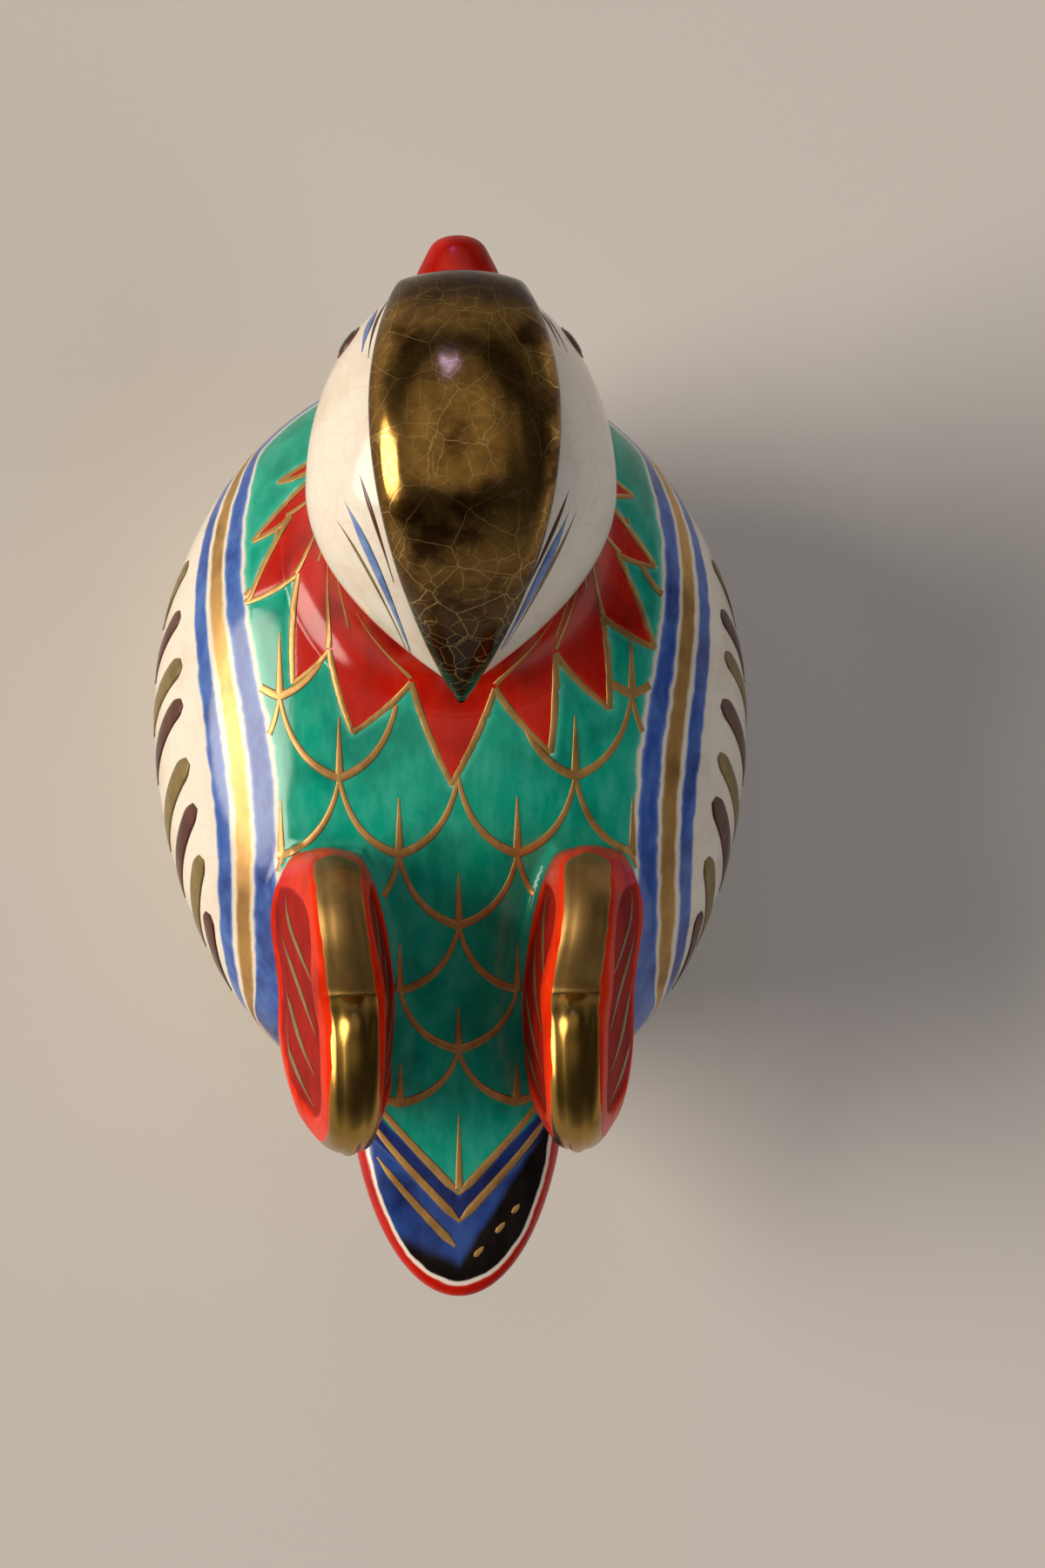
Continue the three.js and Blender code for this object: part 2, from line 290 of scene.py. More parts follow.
def joined_copy(pieces: Sequence[Piece]) -> Piece:
    """Joins copies of meshes into one passing object that painted lines are laid on.

    Args:
        pieces: Objects whose meshes are joined, each with the attribute room or without.

    Returns:
        The passing object, which is hidden.
    """
    points: list[Array] = []
    room: list[Array] = []
    faces: list[list[int]] = []
    base = 0
    for piece in pieces:
        mesh = piece.data
        count = len(mesh.vertices)
        flat = np.empty(count * 3, np.float32)
        mesh.vertices.foreach_get("co", flat)
        points.append(flat.reshape(-1, 3))
        value = np.full(count, FAR, np.float32)
        if "room" in mesh.attributes:
            mesh.attributes["room"].data.foreach_get("value", value)
        room.append(value)
        faces.extend([base + i for i in f.vertices] for f in mesh.polygons)
        base += count
    mesh = bpy.data.meshes.new("ground")
    mesh.from_pydata(np.vstack(points).tolist(), [], faces)
    mesh.attributes.new("room", "FLOAT", "POINT").data.foreach_set("value", np.concatenate(room))
    mesh.shade_smooth()
    made = placed("ground", mesh)
    made.hide_render = True
    return made


def baked(host: Piece, tree: Tree, inputs: dict) -> Piece:
    """Runs a Geometry Nodes tree on an object and keeps the result as a plain mesh.

    Args:
        host: Object that carries the tree's starting geometry.
        tree: Geometry Nodes tree.
        inputs: Value for each of the tree's named inputs.

    Returns:
        The same object, with the result as its mesh.
    """
    modifier = host.modifiers.new("pattern", "NODES")
    modifier.node_group = tree
    named = {i.name: i.identifier for i in tree.interface.items_tree if i.in_out == "INPUT"}
    for name, value in inputs.items():
        modifier[named[name]] = value
    bpy.context.view_layer.update()
    depsgraph = bpy.context.evaluated_depsgraph_get()
    result = bpy.data.meshes.new_from_object(host.evaluated_get(depsgraph), depsgraph=depsgraph)
    host.modifiers.clear()
    host.data = result
    result.name = host.name
    return host


def pattern_tree(name: str, start: str, sizes: Sequence[str]) -> tuple[Tree, bpy.types.NodeOutputs]:
    """Starts a Geometry Nodes tree for painted lines.

    Args:
        name: Name of the tree.
        start: Name of the geometry that it starts from.
        sizes: Names of its own sizes, besides those of the brush.

    Returns:
        The tree and its named inputs.
    """
    tree = bpy.data.node_groups.new(name, "GeometryNodeTree")
    kinds = {start: "Geometry", "Ground": "Object", "Finish": "Material"}
    kinds |= {size: "Float" for size in ("Lift", "Step", "Flatness", *sizes)}
    for socket, kind in kinds.items():
        tree.interface.new_socket(socket, in_out="INPUT", socket_type=f"NodeSocket{kind}")
    tree.interface.new_socket("Paint", in_out="OUTPUT", socket_type="NodeSocketGeometry")
    return tree, add(tree, "NodeGroupInput").node.outputs


def started(name: str) -> tuple[Finish, Tree]:
    """Starts a material with an empty tree.

    Args:
        name: Name of the material.

    Returns:
        The material and its tree.
    """
    made = bpy.data.materials.new(name)
    made.use_nodes = True
    made.node_tree.nodes.clear()
    return made, made.node_tree


# Paints and finishes


@dataclass(frozen=True)
class Paint:
    """One enamel or metal of the painter's palette.

    thin, full and pooled are its colours where the brush left little, where it covers, and where it ran
    thick.
    """

    thin: str
    full: str
    pooled: str
    roughness: float = 0.14
    metallic: float = 0.0


@dataclass(frozen=True)
class Coat:
    """A paint laid between two values of a distance field on the piece.

    start and end are in millimetres of the field, soft is half the width of the coat's edge, body the width
    over which it grows from thin to full, and wobble how far the brush strays.
    """

    field: str
    paint: Paint
    start: float
    end: float = FAR
    soft: float = 0.1
    body: float = 0.5
    wobble: float = 0.12


# Cream glaze over pale clay: warm white, a little deeper where it ran together
CREAM = Paint("#f6eee0", "#efe5d4", "#e2d4bc", roughness=0.16)
# Copper green enamel, glassy, streaky, nearly clear where it is thin
GREEN = Paint("#4cc3a8", "#00a285", "#00806a", roughness=0.12)
# Cobalt blue enamel, brushed on in one pull
BLUE = Paint("#6d95d6", "#3459ab", "#1c2f70", roughness=0.14)
# The same blue in two coats, nearly black
NAVY = Paint("#2c4793", "#1a2a66", "#0b1030", roughness=0.14)
TAIL_BLUE = Paint("#41629f", "#284790", "#162559", roughness=0.14)
# Iron red enamel, orange where it is thin and maroon where it is thick
RED = Paint("#d62e0f", "#bb1506", "#8c0c05", roughness=0.16)
# The same red darkened to maroon round the neck: painted shade under the head
SHADED_RED = Paint("#b9260f", "#96160a", "#6c0d06", roughness=0.18)
# Orange red of the sails, and the same in a dry, nearly matt coat on their panels
SAIL_RED = Paint("#ee4614", "#dd2b06", "#ae1a04", roughness=0.22)
MAROON_RED = Paint("#b5281a", "#981a12", "#76110c", roughness=0.45)
# Gold paint in a soft, unburnished band or line
LINE_GOLD = Paint("#dcb571", "#bd9150", "#8f6a35", roughness=0.36, metallic=0.45)
# Gilding on the sails' edges, rubbed to a satin sheen
SATIN_GOLD = Paint("#b4935c", "#9a7b47", "#775b31", roughness=0.5, metallic=0.85)
BRIGHT_GOLD = Paint("#c09a58", "#a8843f", "#7f6030", roughness=0.26, metallic=1.0)
# Brush strokes in brown, olive, blue and black overglaze colours
BROWN = Paint("#7d4a35", "#532c20", "#3a1a12", roughness=0.24)
OLIVE = Paint("#a8935a", "#7f6b3c", "#5d4c26", roughness=0.28, metallic=0.2)
SLATE = Paint("#a3b8da", "#6686bf", "#3f5c97", roughness=0.2)
BLACK = Paint("#2a211d", "#120d0b", "#060403", roughness=0.08)
# Unglazed fired clay: matt, buff, a little speckled
CLAY = Paint("#dcc9a8", "#cdb690", "#b3976d", roughness=0.75)


@dataclass(frozen=True)
class PaintedGlaze:
    """A ground glaze with coats of paint over it, each bounded by a distance field of the piece.

    shine is the strength of the reflection on its surface, which is low on a dry enamel. The sizes are
    those of the brush's streaks, the clouds where paint pooled, the hand's strays and the crackle's cells.
    """

    name: str
    ground: Paint
    coats: tuple[Coat, ...] = ()
    shine: float = 0.5
    streak: tuple[float, float, float] = (1.0, 0.4, 1.0)
    streak_size: float = 1.5
    streak_depth: float = 0.02
    cloud_size: float = 6.0
    cloud_depth: float = 0.12
    hand_size: float = 2.2
    crackle: float = 0.0
    crackle_size: float = 2.6
    crackle_bend: float = 0.8
    stain: str = "#a8895f"

    def make(self) -> Finish:
        """Builds the material.

        Returns:
            The material, which reads Object coordinates and the piece's fields.
        """
        made, tree = started(self.name)
        where = add(tree, "ShaderNodeTexCoord", out="Object")
        drawn = add(tree, "ShaderNodeMapping", {"Vector": where, "Scale": self.streak})
        feeds = {"Vector": drawn, "Scale": 1 / (self.streak_size * MM), "Detail": 4.0, "Roughness": 0.6}
        brush = add(tree, "ShaderNodeTexNoise", feeds, out="Fac")
        feeds = {"Vector": where, "Scale": 1 / (self.cloud_size * MM), "Detail": 3.0}
        cloud = add(tree, "ShaderNodeTexNoise", feeds, out="Fac")
        feeds = {"Vector": where, "Scale": 1 / (self.hand_size * MM), "Detail": 2.0}
        hand = add(tree, "ShaderNodeTexNoise", feeds, out="Fac")
        colour = self._mixed(tree, self.ground, brush, cloud, None)
        if self.crackle:
            colour = self._crackled(tree, where, hand, colour)
        words = {"Roughness": "roughness", "Metallic": "metallic"}
        feel: dict[str, object] = {socket: getattr(self.ground, word) for socket, word in words.items()}
        for coat in self.coats:
            mask, cover = self._mask(tree, coat, hand)
            paint = self._mixed(tree, coat.paint, brush, cloud, cover)
            feeds = {"Factor": mask, 6: colour, 7: paint}
            colour = add(tree, "ShaderNodeMix", feeds, data_type="RGBA", out=2)
            for socket, word in words.items():
                laid = getattr(coat.paint, word)
                if feel[socket] != laid:
                    feel[socket] = add(tree, "ShaderNodeMix", {"Factor": mask, 2: feel[socket], 3: laid})
        feeds = {"Height": cloud, "Distance": self.cloud_depth * MM, "Strength": 0.5}
        wave = add(tree, "ShaderNodeBump", feeds)
        feeds = {"Height": brush, "Distance": self.streak_depth * MM, "Strength": 0.5, "Normal": wave}
        fine = add(tree, "ShaderNodeBump", feeds)
        feeds = {"Base Color": colour, "Normal": fine, "IOR": 1.5, "Specular IOR Level": self.shine, **feel}
        shader = add(tree, "ShaderNodeBsdfPrincipled", feeds)
        add(tree, "ShaderNodeOutputMaterial", {"Surface": shader})
        return made

    def _mixed(
        self, tree: Tree, paint: Paint, brush: Socket, cloud: Socket, cover: Optional[Socket]
    ) -> Socket:
        """Mixes a paint's three colours by the brush's streaks.

        Args:
            tree: The material's tree.
            paint: Paint to mix.
            brush: Streaks of the brush, 0 to 1.
            cloud: Slow changes of thickness, 0 to 1.
            cover: How fully the paint covers, 0 to 1, or None for everywhere.

        Returns:
            The colour.
        """
        span = {"From Min": 0.36, "From Max": 0.58, "To Min": 0.62, "To Max": 1.0}
        thick = add(tree, "ShaderNodeMapRange", {"Value": brush, **span})
        if cover is not None:
            thick = add(tree, "ShaderNodeMath", {0: thick, 1: cover}, operation="MULTIPLY")
        deep = add(tree, "ShaderNodeMapRange", {"Value": cloud, "From Min": 0.5, "From Max": 0.68})
        feeds = {"Factor": thick, 6: linear(paint.thin), 7: linear(paint.full)}
        colour = add(tree, "ShaderNodeMix", feeds, data_type="RGBA", out=2)
        deep = add(tree, "ShaderNodeMath", {0: deep, 1: thick}, operation="MULTIPLY")
        feeds = {"Factor": deep, 6: colour, 7: linear(paint.pooled)}
        return add(tree, "ShaderNodeMix", feeds, data_type="RGBA", out=2)

    def _crackled(self, tree: Tree, where: Socket, hand: Socket, colour: Socket) -> Socket:
        """Draws the fine net of cracks in the glaze.

        Args:
            tree: The material's tree.
            where: Object coordinates.
            hand: Noise that bends the cracks.
            colour: Colour of the glaze.

        Returns:
            The colour with its cracks.
        """
        feeds = {0: hand, 1: (self.crackle_bend * MM,) * 3, 2: where}
        bent = add(tree, "ShaderNodeVectorMath", feeds, operation="MULTIPLY_ADD")
        feeds = {"Vector": bent, "Scale": 1 / (self.crackle_size * MM)}
        gap = add(tree, "ShaderNodeTexVoronoi", feeds, feature="DISTANCE_TO_EDGE", out="Distance")
        feeds = {"Value": gap, "From Max": 0.05, "To Min": self.crackle, "To Max": 0.0}
        line = add(tree, "ShaderNodeMapRange", feeds)
        feeds = {"Factor": line, 6: colour, 7: linear(self.stain)}
        return add(tree, "ShaderNodeMix", feeds, data_type="RGBA", out=2)

    def _mask(self, tree: Tree, coat: Coat, hand: Socket) -> tuple[Socket, Socket]:
        """Works out where a coat lies.

        Args:
            tree: The material's tree.
            coat: Coat to place.
            hand: Noise that lets its edge stray.

        Returns:
            Whether the coat is there, and how fully it covers, both 0 to 1.
        """
        field = add(tree, "ShaderNodeAttribute", attribute_name=coat.field, out="Fac")
        span = {"From Min": 0.3, "From Max": 0.7, "To Min": -coat.wobble, "To Max": coat.wobble}
        stray = add(tree, "ShaderNodeMapRange", {"Value": hand, **span})
        field = add(tree, "ShaderNodeMath", {0: field, 1: stray}, operation="ADD")
        soft = {"interpolation_type": "SMOOTHSTEP"}
        shares = []
        for reach in (coat.soft, coat.body):
            span = {"From Min": coat.start - coat.soft, "From Max": coat.start + reach}
            share = add(tree, "ShaderNodeMapRange", {"Value": field, **span}, **soft)
            if coat.end < FAR:
                span = {"From Min": coat.end - reach, "From Max": coat.end + coat.soft}
                span |= {"To Min": 1.0, "To Max": 0.0}
                leaves = add(tree, "ShaderNodeMapRange", {"Value": field, **span}, **soft)
                share = add(tree, "ShaderNodeMath", {0: share, 1: leaves}, operation="MULTIPLY")
            shares.append(share)
        return shares[0], shares[1]


@dataclass(frozen=True)
class BurnishedGilding:
    """Gilding on the crest: thin gold over crackled glaze, burnished to a mirror, rubbed and pitted in
    places.

    nape and brow give the stations along the body between which the gold turns into painted shade towards the
    nape's tip and darkens in front. Along its edge it is darkened with painted shade as well. shine is the
    strength of the reflection where the gold gives way to dark paint.
    """

    name: str = "burnished_gilding"
    gold: str = "#b68a48"
    # Colour of the rubbed patches, and of the painted shade along the crest's edge
    wear_and_shade_tint: str = "#493114"
    crack: str = "#d2b271"
    # Near black of the edge line and the pits; also laid towards the nape's tip as painted shade, and towards
    # the front
    rim: str = "#1e1008"
    crack_size: float = 3.6
    fine_crack_size: float = 1.6
    crack_half: float = 0.034
    crack_bend: float = 1.2
    cloud_size: float = 5.0
    swell_size: float = 3.0
    swell_depth: float = 0.35
    pit_size: float = 1.1
    pit_depth: float = 0.03
    pit_rarity: float = 0.88
    rim_width: float = 0.4
    # Out to this width from the edge the gold is darkened with painted shade
    dark_width: float = 2.2
    nape: tuple[float, float] = (4.5, 13.5)
    brow: tuple[float, float] = (25.5, 29.5)
    shine: float = 0.15

    def make(self) -> Finish:
        """Builds the material.

        Returns:
            The material, which reads Object coordinates and the crest's field edge.
        """
        made, tree = started(self.name)
        where = add(tree, "ShaderNodeTexCoord", out="Object")
        feeds = {"Vector": where, "Scale": 1 / (self.cloud_size * MM), "Detail": 5.0, "Roughness": 0.65}
        cloud = add(tree, "ShaderNodeTexNoise", feeds).node
        rubbed = add(tree, "ShaderNodeMapping", {"Vector": where, "Scale": (1.0, 0.35, 1.0)})
        feeds = {"Vector": rubbed, "Scale": 1 / (self.swell_size * MM), "Detail": 1.0}
        swell = add(tree, "ShaderNodeTexNoise", feeds, out="Fac")
        feeds = {"Value": cloud.outputs["Fac"], "From Min": 0.42, "From Max": 0.66}
        wear_and_shade = add(tree, "ShaderNodeMapRange", feeds)
        # Painted shade: the gold darkens along the crest's edge, on top of the rubbed patches
        edge = add(tree, "ShaderNodeAttribute", attribute_name="edge", out="Fac")
        span = {"From Min": self.rim_width, "From Max": self.dark_width, "To Min": 0.9, "To Max": 0.0}
        border = add(tree, "ShaderNodeMapRange", {"Value": edge, **span})
        wear_and_shade = add(tree, "ShaderNodeMath", {0: wear_and_shade, 1: border}, operation="MAXIMUM")
        # Painted shade: the gold turns nearly black towards the nape's tip; it also darkens towards the front
        along = add(tree, "ShaderNodeSeparateXYZ", {0: where}, out="Y")
        span = {"From Min": self.brow[0] * MM, "From Max": self.brow[1] * MM}
        front = add(tree, "ShaderNodeMapRange", {"Value": along, "To Max": 0.9, **span})
        span = {"From Min": self.nape[0] * MM, "From Max": self.nape[1] * MM, "To Min": 0.97, "To Max": 0.0}
        tip = add(tree, "ShaderNodeMapRange", {"Value": along, **span})
        tip = add(tree, "ShaderNodeMath", {0: tip, 1: front}, operation="MAXIMUM")
        crack = self._cracks(tree, where, cloud)
        for dim, left in ((tip, 0.5), (front, 0.2)):
            fade = add(tree, "ShaderNodeMapRange", {"Value": dim, "To Min": 1.0, "To Max": left})
            crack = add(tree, "ShaderNodeMath", {0: crack, 1: fade}, operation="MULTIPLY")
        pit = self._pits(tree, where)
        span = {"From Min": self.rim_width * 0.6, "From Max": self.rim_width, "To Min": 1.0, "To Max": 0.0}
        rim = add(tree, "ShaderNodeMapRange", {"Value": edge, **span})
        spot = add(tree, "ShaderNodeMath", {0: pit, 1: rim}, operation="MAXIMUM")
        colour = linear(self.gold)
        for share, tint in ((wear_and_shade, self.wear_and_shade_tint), (tip, self.rim), (crack, self.crack), (spot, self.rim)):
            feeds = {"Factor": share, 6: colour, 7: linear(tint)}
            colour = add(tree, "ShaderNodeMix", feeds, data_type="RGBA", out=2)
        dark = add(tree, "ShaderNodeMath", {0: spot, 1: tip}, operation="MAXIMUM")
        metal = add(tree, "ShaderNodeMapRange", {"Value": dark, "To Min": 1.0, "To Max": 0.2})
        span = {"From Min": 0.35, "From Max": 0.7, "To Min": 0.1, "To Max": 0.26}
        rough = add(tree, "ShaderNodeMapRange", {"Value": cloud.outputs["Fac"], **span})
        feeds = {"Height": pit, "Distance": self.pit_depth * MM, "Strength": 0.6}
        dented = add(tree, "ShaderNodeBump", feeds, invert=True)
        feeds = {"Height": swell, "Distance": self.swell_depth * MM, "Strength": 0.5, "Normal": dented}
        wavy = add(tree, "ShaderNodeBump", feeds)
        feeds = {"Base Color": colour, "Roughness": rough, "Metallic": metal, "Normal": wavy}
        feeds["Specular IOR Level"] = self.shine
        shader = add(tree, "ShaderNodeBsdfPrincipled", feeds)
        add(tree, "ShaderNodeOutputMaterial", {"Surface": shader})
        return made

    def _cracks(self, tree: Tree, where: Socket, cloud: bpy.types.Node) -> Socket:
        """Draws the net of hair cracks, wide meshes with finer ones in places.

        Args:
            tree: The material's tree.
            where: Object coordinates.
            cloud: Noise that bends the cracks and thins them out.

        Returns:
            How strongly a crack shows, 0 to 1.
        """
        feeds = {0: cloud.outputs["Color"], 1: (self.crack_bend * MM,) * 3, 2: where}
        bent = add(tree, "ShaderNodeVectorMath", feeds, operation="MULTIPLY_ADD")
        found = []
        for size, strength, low, high in (
            (self.crack_size, 0.85, 0.2, 0.42),
            (self.fine_crack_size, 0.7, 0.62, 0.46),
        ):
            feeds = {"Vector": bent, "Scale": 1 / (size * MM)}
            gap = add(tree, "ShaderNodeTexVoronoi", feeds, feature="DISTANCE_TO_EDGE", out="Distance")
            half = self.crack_half / size
            span = {"From Min": half * 0.4, "From Max": half, "To Min": strength, "To Max": 0.0}
            line = add(tree, "ShaderNodeMapRange", {"Value": gap, **span})
            feeds = {"Value": cloud.outputs["Fac"], "From Min": min(low, high), "From Max": max(low, high)}
            feeds |= {"To Min": 0.15 if low < high else 1.0, "To Max": 1.0 if low < high else 0.0}
            patch = add(tree, "ShaderNodeMapRange", feeds)
            found.append(add(tree, "ShaderNodeMath", {0: line, 1: patch}, operation="MULTIPLY"))
        return add(tree, "ShaderNodeMath", {0: found[0], 1: found[1]}, operation="MAXIMUM")

    def _pits(self, tree: Tree, where: Socket) -> Socket:
        """Scatters a few small dark pits.

        Args:
            tree: The material's tree.
            where: Object coordinates.

        Returns:
            How deep a pit is, 0 to 1.
        """
        speck = add(tree, "ShaderNodeTexVoronoi", {"Vector": where, "Scale": 1 / (self.pit_size * MM)}).node
        feeds = {0: speck.outputs["Color"], 1: self.pit_rarity}
        chosen = add(tree, "ShaderNodeMath", feeds, operation="GREATER_THAN")
        span = {"From Min": 0.08, "From Max": 0.17, "To Min": 0.9, "To Max": 0.0}
        pit = add(tree, "ShaderNodeMapRange", {"Value": speck.outputs["Distance"], **span})
        return add(tree, "ShaderNodeMath", {0: pit, 1: chosen}, operation="MULTIPLY")


# Painted lines, laid on the pieces by Geometry Nodes


@dataclass(frozen=True)
class Brushwork:
    """Raised strokes of paint that follow a surface."""

    lift: float = 0.02
    step: float = 0.25
    flatness: float = 0.3

    @staticmethod
    def tree() -> Tree:
        """Builds the tree that sweeps strokes along a ground.

        Returns:
            A Geometry Nodes tree with named inputs.
        """
        tree, given = pattern_tree("brush_strokes", "Strokes", ())
        curve = add(tree, "GeometryNodeMeshToCurve", {"Mesh": given["Strokes"]})
        add(tree, "NodeGroupOutput", {0: Brushwork.sweep(tree, curve, given)})
        return tree

    @staticmethod
    def sweep(tree: Tree, curve: Socket, given: bpy.types.NodeOutputs) -> Socket:
        """Lays curves on the ground and gives them a flat round section.

        Args:
            tree: Tree under construction.
            curve: Curves with the attribute half_width.
            given: The tree's inputs, with Ground, Lift, Step, Flatness and Finish.

        Returns:
            The painted mesh.
        """
        ground = add(tree, "GeometryNodeObjectInfo", {"Object": given["Ground"]}, out="Geometry")
        feeds = {"Curve": curve, "Length": given["Step"]}
        smooth = add(tree, "GeometryNodeResampleCurve", feeds, mode="LENGTH")
        nearest = add(tree, "GeometryNodeProximity", {0: ground}, target_element="FACES", out="Position")
        feeds = {"Mesh": ground, "Value": add(tree, "GeometryNodeInputNormal")}
        facing = add(tree, "GeometryNodeSampleNearestSurface", feeds, data_type="FLOAT_VECTOR")
        raised = add(tree, "ShaderNodeVectorMath", {0: facing, "Scale": given["Lift"]}, operation="SCALE")
        seat = add(tree, "ShaderNodeVectorMath", {0: nearest, 1: raised}, operation="ADD")
        laid = add(tree, "GeometryNodeSetPosition", {"Geometry": smooth, "Position": seat})
        turned = add(tree, "GeometryNodeSetCurveNormal", {"Curve": laid, "Normal": facing}, mode="FREE")
        width = add(tree, "GeometryNodeInputNamedAttribute", {"Name": "half_width"}, data_type="FLOAT")
        circle = add(tree, "GeometryNodeCurvePrimitiveCircle", {"Resolution": 8, "Radius": 1.0})
        squeeze = add(tree, "ShaderNodeCombineXYZ", {"X": given["Flatness"], "Y": 1.0, "Z": 1.0})
        lens = add(tree, "GeometryNodeTransform", {"Geometry": circle, "Scale": squeeze})
        feeds = {"Curve": turned, "Profile Curve": lens, "Scale": width, "Fill Caps": True}
        mesh = add(tree, "GeometryNodeCurveToMesh", feeds)
        whole = add(tree, "GeometryNodeRealizeInstances", {"Geometry": mesh})
        return add(tree, "GeometryNodeSetMaterial", {"Geometry": whole, "Material": given["Finish"]})

    def lay(
        self,
        mesh: bpy.types.Mesh,
        tree: Tree,
        ground: Sequence[Piece],
        finish: Finish,
        sizes: dict[str, float],
    ) -> Piece:
        """Runs a tree of painted lines over the pieces that carry them.

        Args:
            mesh: Geometry that the tree starts from, whose name the new piece takes.
            tree: Geometry Nodes tree.
            ground: Pieces that the lines lie on.
            finish: Paint of the lines.
            sizes: Millimetres for the tree's own named sizes.

        Returns:
            The new piece.
        """
        host = placed(mesh.name, mesh)
        under = joined_copy(ground)
        lengths = {"Lift": self.lift, "Step": self.step, **sizes}
        inputs = {name: length * MM for name, length in lengths.items()}
        baked(host, tree, {**inputs, "Flatness": self.flatness, "Ground": under, "Finish": finish})
        bpy.data.objects.remove(under)
        host.data.shade_smooth()
        return host

    def paint(self, name: str, strokes: Strokes, ground: Sequence[Piece], finish: Finish) -> Piece:
        """Paints a set of strokes.

        Args:
            name: Name of the new piece.
            strokes: Points and half widths along each stroke, in millimetres.
            ground: Pieces that the strokes lie on.
            finish: Paint of the strokes.

        Returns:
            The new piece.
        """
        points = np.vstack([p for p, _ in strokes]) * MM
        widths = np.concatenate([w for _, w in strokes]) * MM
        edges: list[tuple[int, int]] = []
        base = 0
        for line, _ in strokes:
            edges.extend((base + i, base + i + 1) for i in range(len(line) - 1))
            base += len(line)
        mesh = bpy.data.meshes.new(name)
        mesh.from_pydata(points.tolist(), edges, [])
        layer = mesh.attributes.new("half_width", "FLOAT", "POINT")
        layer.data.foreach_set("value", widths.astype(np.float32))
        tree = bpy.data.node_groups.get("brush_strokes") or Brushwork.tree()
        return self.lay(mesh, tree, ground, finish, {})


@dataclass(frozen=True)
class ScalePattern:
    """The feather scales of the back: rows of pointed arcs with a quill in each, staggered like tiles.

    arc gives where half an arc starts and where it bends, in shares of pitch and row height.
    """

    pitch: float = 9.4
    row_height: float = 6.0
    quill: float = 4.4
    quill_tip: float = 0.06
    arc: tuple[tuple[float, float], ...] = ((0.5, 1.0), (0.41, 0.19))
    hover: float = 90.0
    thin_half: float = 0.17
    thick_half: float = 0.38
    first_row: float = -5.25
    row_step: float = 6.35
    row_closing: float = 0.22
    rows: tuple[int, int] = (-2, 6)
    columns: int = 3

    def row_station(self, row: float) -> float:
        """Gives the station along the body of the lowest points of a row's arcs."""
        return self.first_row - self.row_step * row + self.row_closing * row * row

    def tree(self) -> Tree:
        """Builds the tree that sets one arc on each point and lays it on the ground.

        Returns:
            A Geometry Nodes tree with named inputs.
        """
        own = ("Pitch", "Row Height", "Quill", "Thin Half", "Thick Half")
        tree, given = pattern_tree("feather_scales", "Places", own)
        along = add(tree, "GeometryNodeSplineParameter", out="Factor")
        root = (0.0, 0.0, 0.0)
        lines = []
        for sign in (-1, 1):
            ends = []
            for across, up in self.arc:
                x = add(tree, "ShaderNodeMath", {0: given["Pitch"], 1: across * sign}, operation="MULTIPLY")
                y = add(tree, "ShaderNodeMath", {0: given["Row Height"], 1: up}, operation="MULTIPLY")
                ends.append(add(tree, "ShaderNodeCombineXYZ", {"X": x, "Y": y}))
            feeds = {"Resolution": 28, "Start": ends[0], "Middle": ends[1], "End": root}
            arc = add(tree, "GeometryNodeCurveQuadraticBezier", feeds)
            lines.append((arc, given["Thin Half"], given["Thick Half"]))
        top = add(tree, "ShaderNodeCombineXYZ", {"Y": given["Quill"]})
        spike = add(tree, "GeometryNodeCurvePrimitiveLine", {"Start": top, "End": root})
        spike = add(tree, "GeometryNodeResampleCurve", {"Curve": spike, "Count": 18}, mode="COUNT")
        lines.append((spike, self.quill_tip * MM, given["Thick Half"]))
        motif = add(tree, "GeometryNodeJoinGeometry")
        kept = {"data_type": "FLOAT", "domain": "POINT"}
        for curve, thin, thick in lines:
            width = add(tree, "ShaderNodeMapRange", {"Value": along, "To Min": thin, "To Max": thick})
            feeds = {"Geometry": curve, "Name": "half_width", "Value": width}
            stored = add(tree, "GeometryNodeStoreNamedAttribute", feeds, **kept)
            tree.links.new(stored, motif.node.inputs[0])
        thread = add(tree, "GeometryNodeCurveToMesh", {"Curve": motif})
        squash = add(tree, "GeometryNodeInputNamedAttribute", {"Name": "squash"}, data_type="FLOAT")
        scale = add(tree, "ShaderNodeCombineXYZ", {"X": 1.0, "Y": squash, "Z": 1.0})
        feeds = {"Points": given["Places"], "Instance": thread, "Scale": scale}
        scales = add(tree, "GeometryNodeInstanceOnPoints", feeds)
        whole = add(tree, "GeometryNodeRealizeInstances", {"Geometry": scales})
        ground = add(tree, "GeometryNodeObjectInfo", {"Object": given["Ground"]}, out="Geometry")
        feeds = {"Target Geometry": ground, "Ray Direction": (0.0, 0.0, -1.0), "Ray Length": 0.2}
        below = add(tree, "GeometryNodeRaycast", feeds, out="Hit Position")
        fallen = add(tree, "GeometryNodeSetPosition", {"Geometry": whole, "Position": below})
        room = add(tree, "GeometryNodeInputNamedAttribute", {"Name": "room"}, data_type="FLOAT")
        feeds = {"Mesh": ground, "Value": room}
        left = add(tree, "GeometryNodeSampleNearestSurface", feeds, data_type="FLOAT")
        outside = add(tree, "ShaderNodeMath", {0: left, 1: 0.0}, operation="LESS_THAN")
        feeds = {"Geometry": fallen, "Selection": outside}
        inside = add(tree, "GeometryNodeDeleteGeometry", feeds, domain="POINT")
        curve = add(tree, "GeometryNodeMeshToCurve", {"Mesh": inside})
        add(tree, "NodeGroupOutput", {0: Brushwork.sweep(tree, curve, given)})
        return tree

    def paint(self, name: str, ground: Sequence[Piece], finish: Finish, brush: Brushwork) -> Piece:
        """Paints the scales on the back.

        Args:
            name: Name of the new piece.
            ground: Pieces that carry the scales, with the attribute room.
            finish: Paint of the lines.
            brush: Section of the lines.

        Returns:
            The new piece.
        """
        places, squash = [], []
        for row in range(*self.rows):
            for column in range(-self.columns, self.columns + 1):
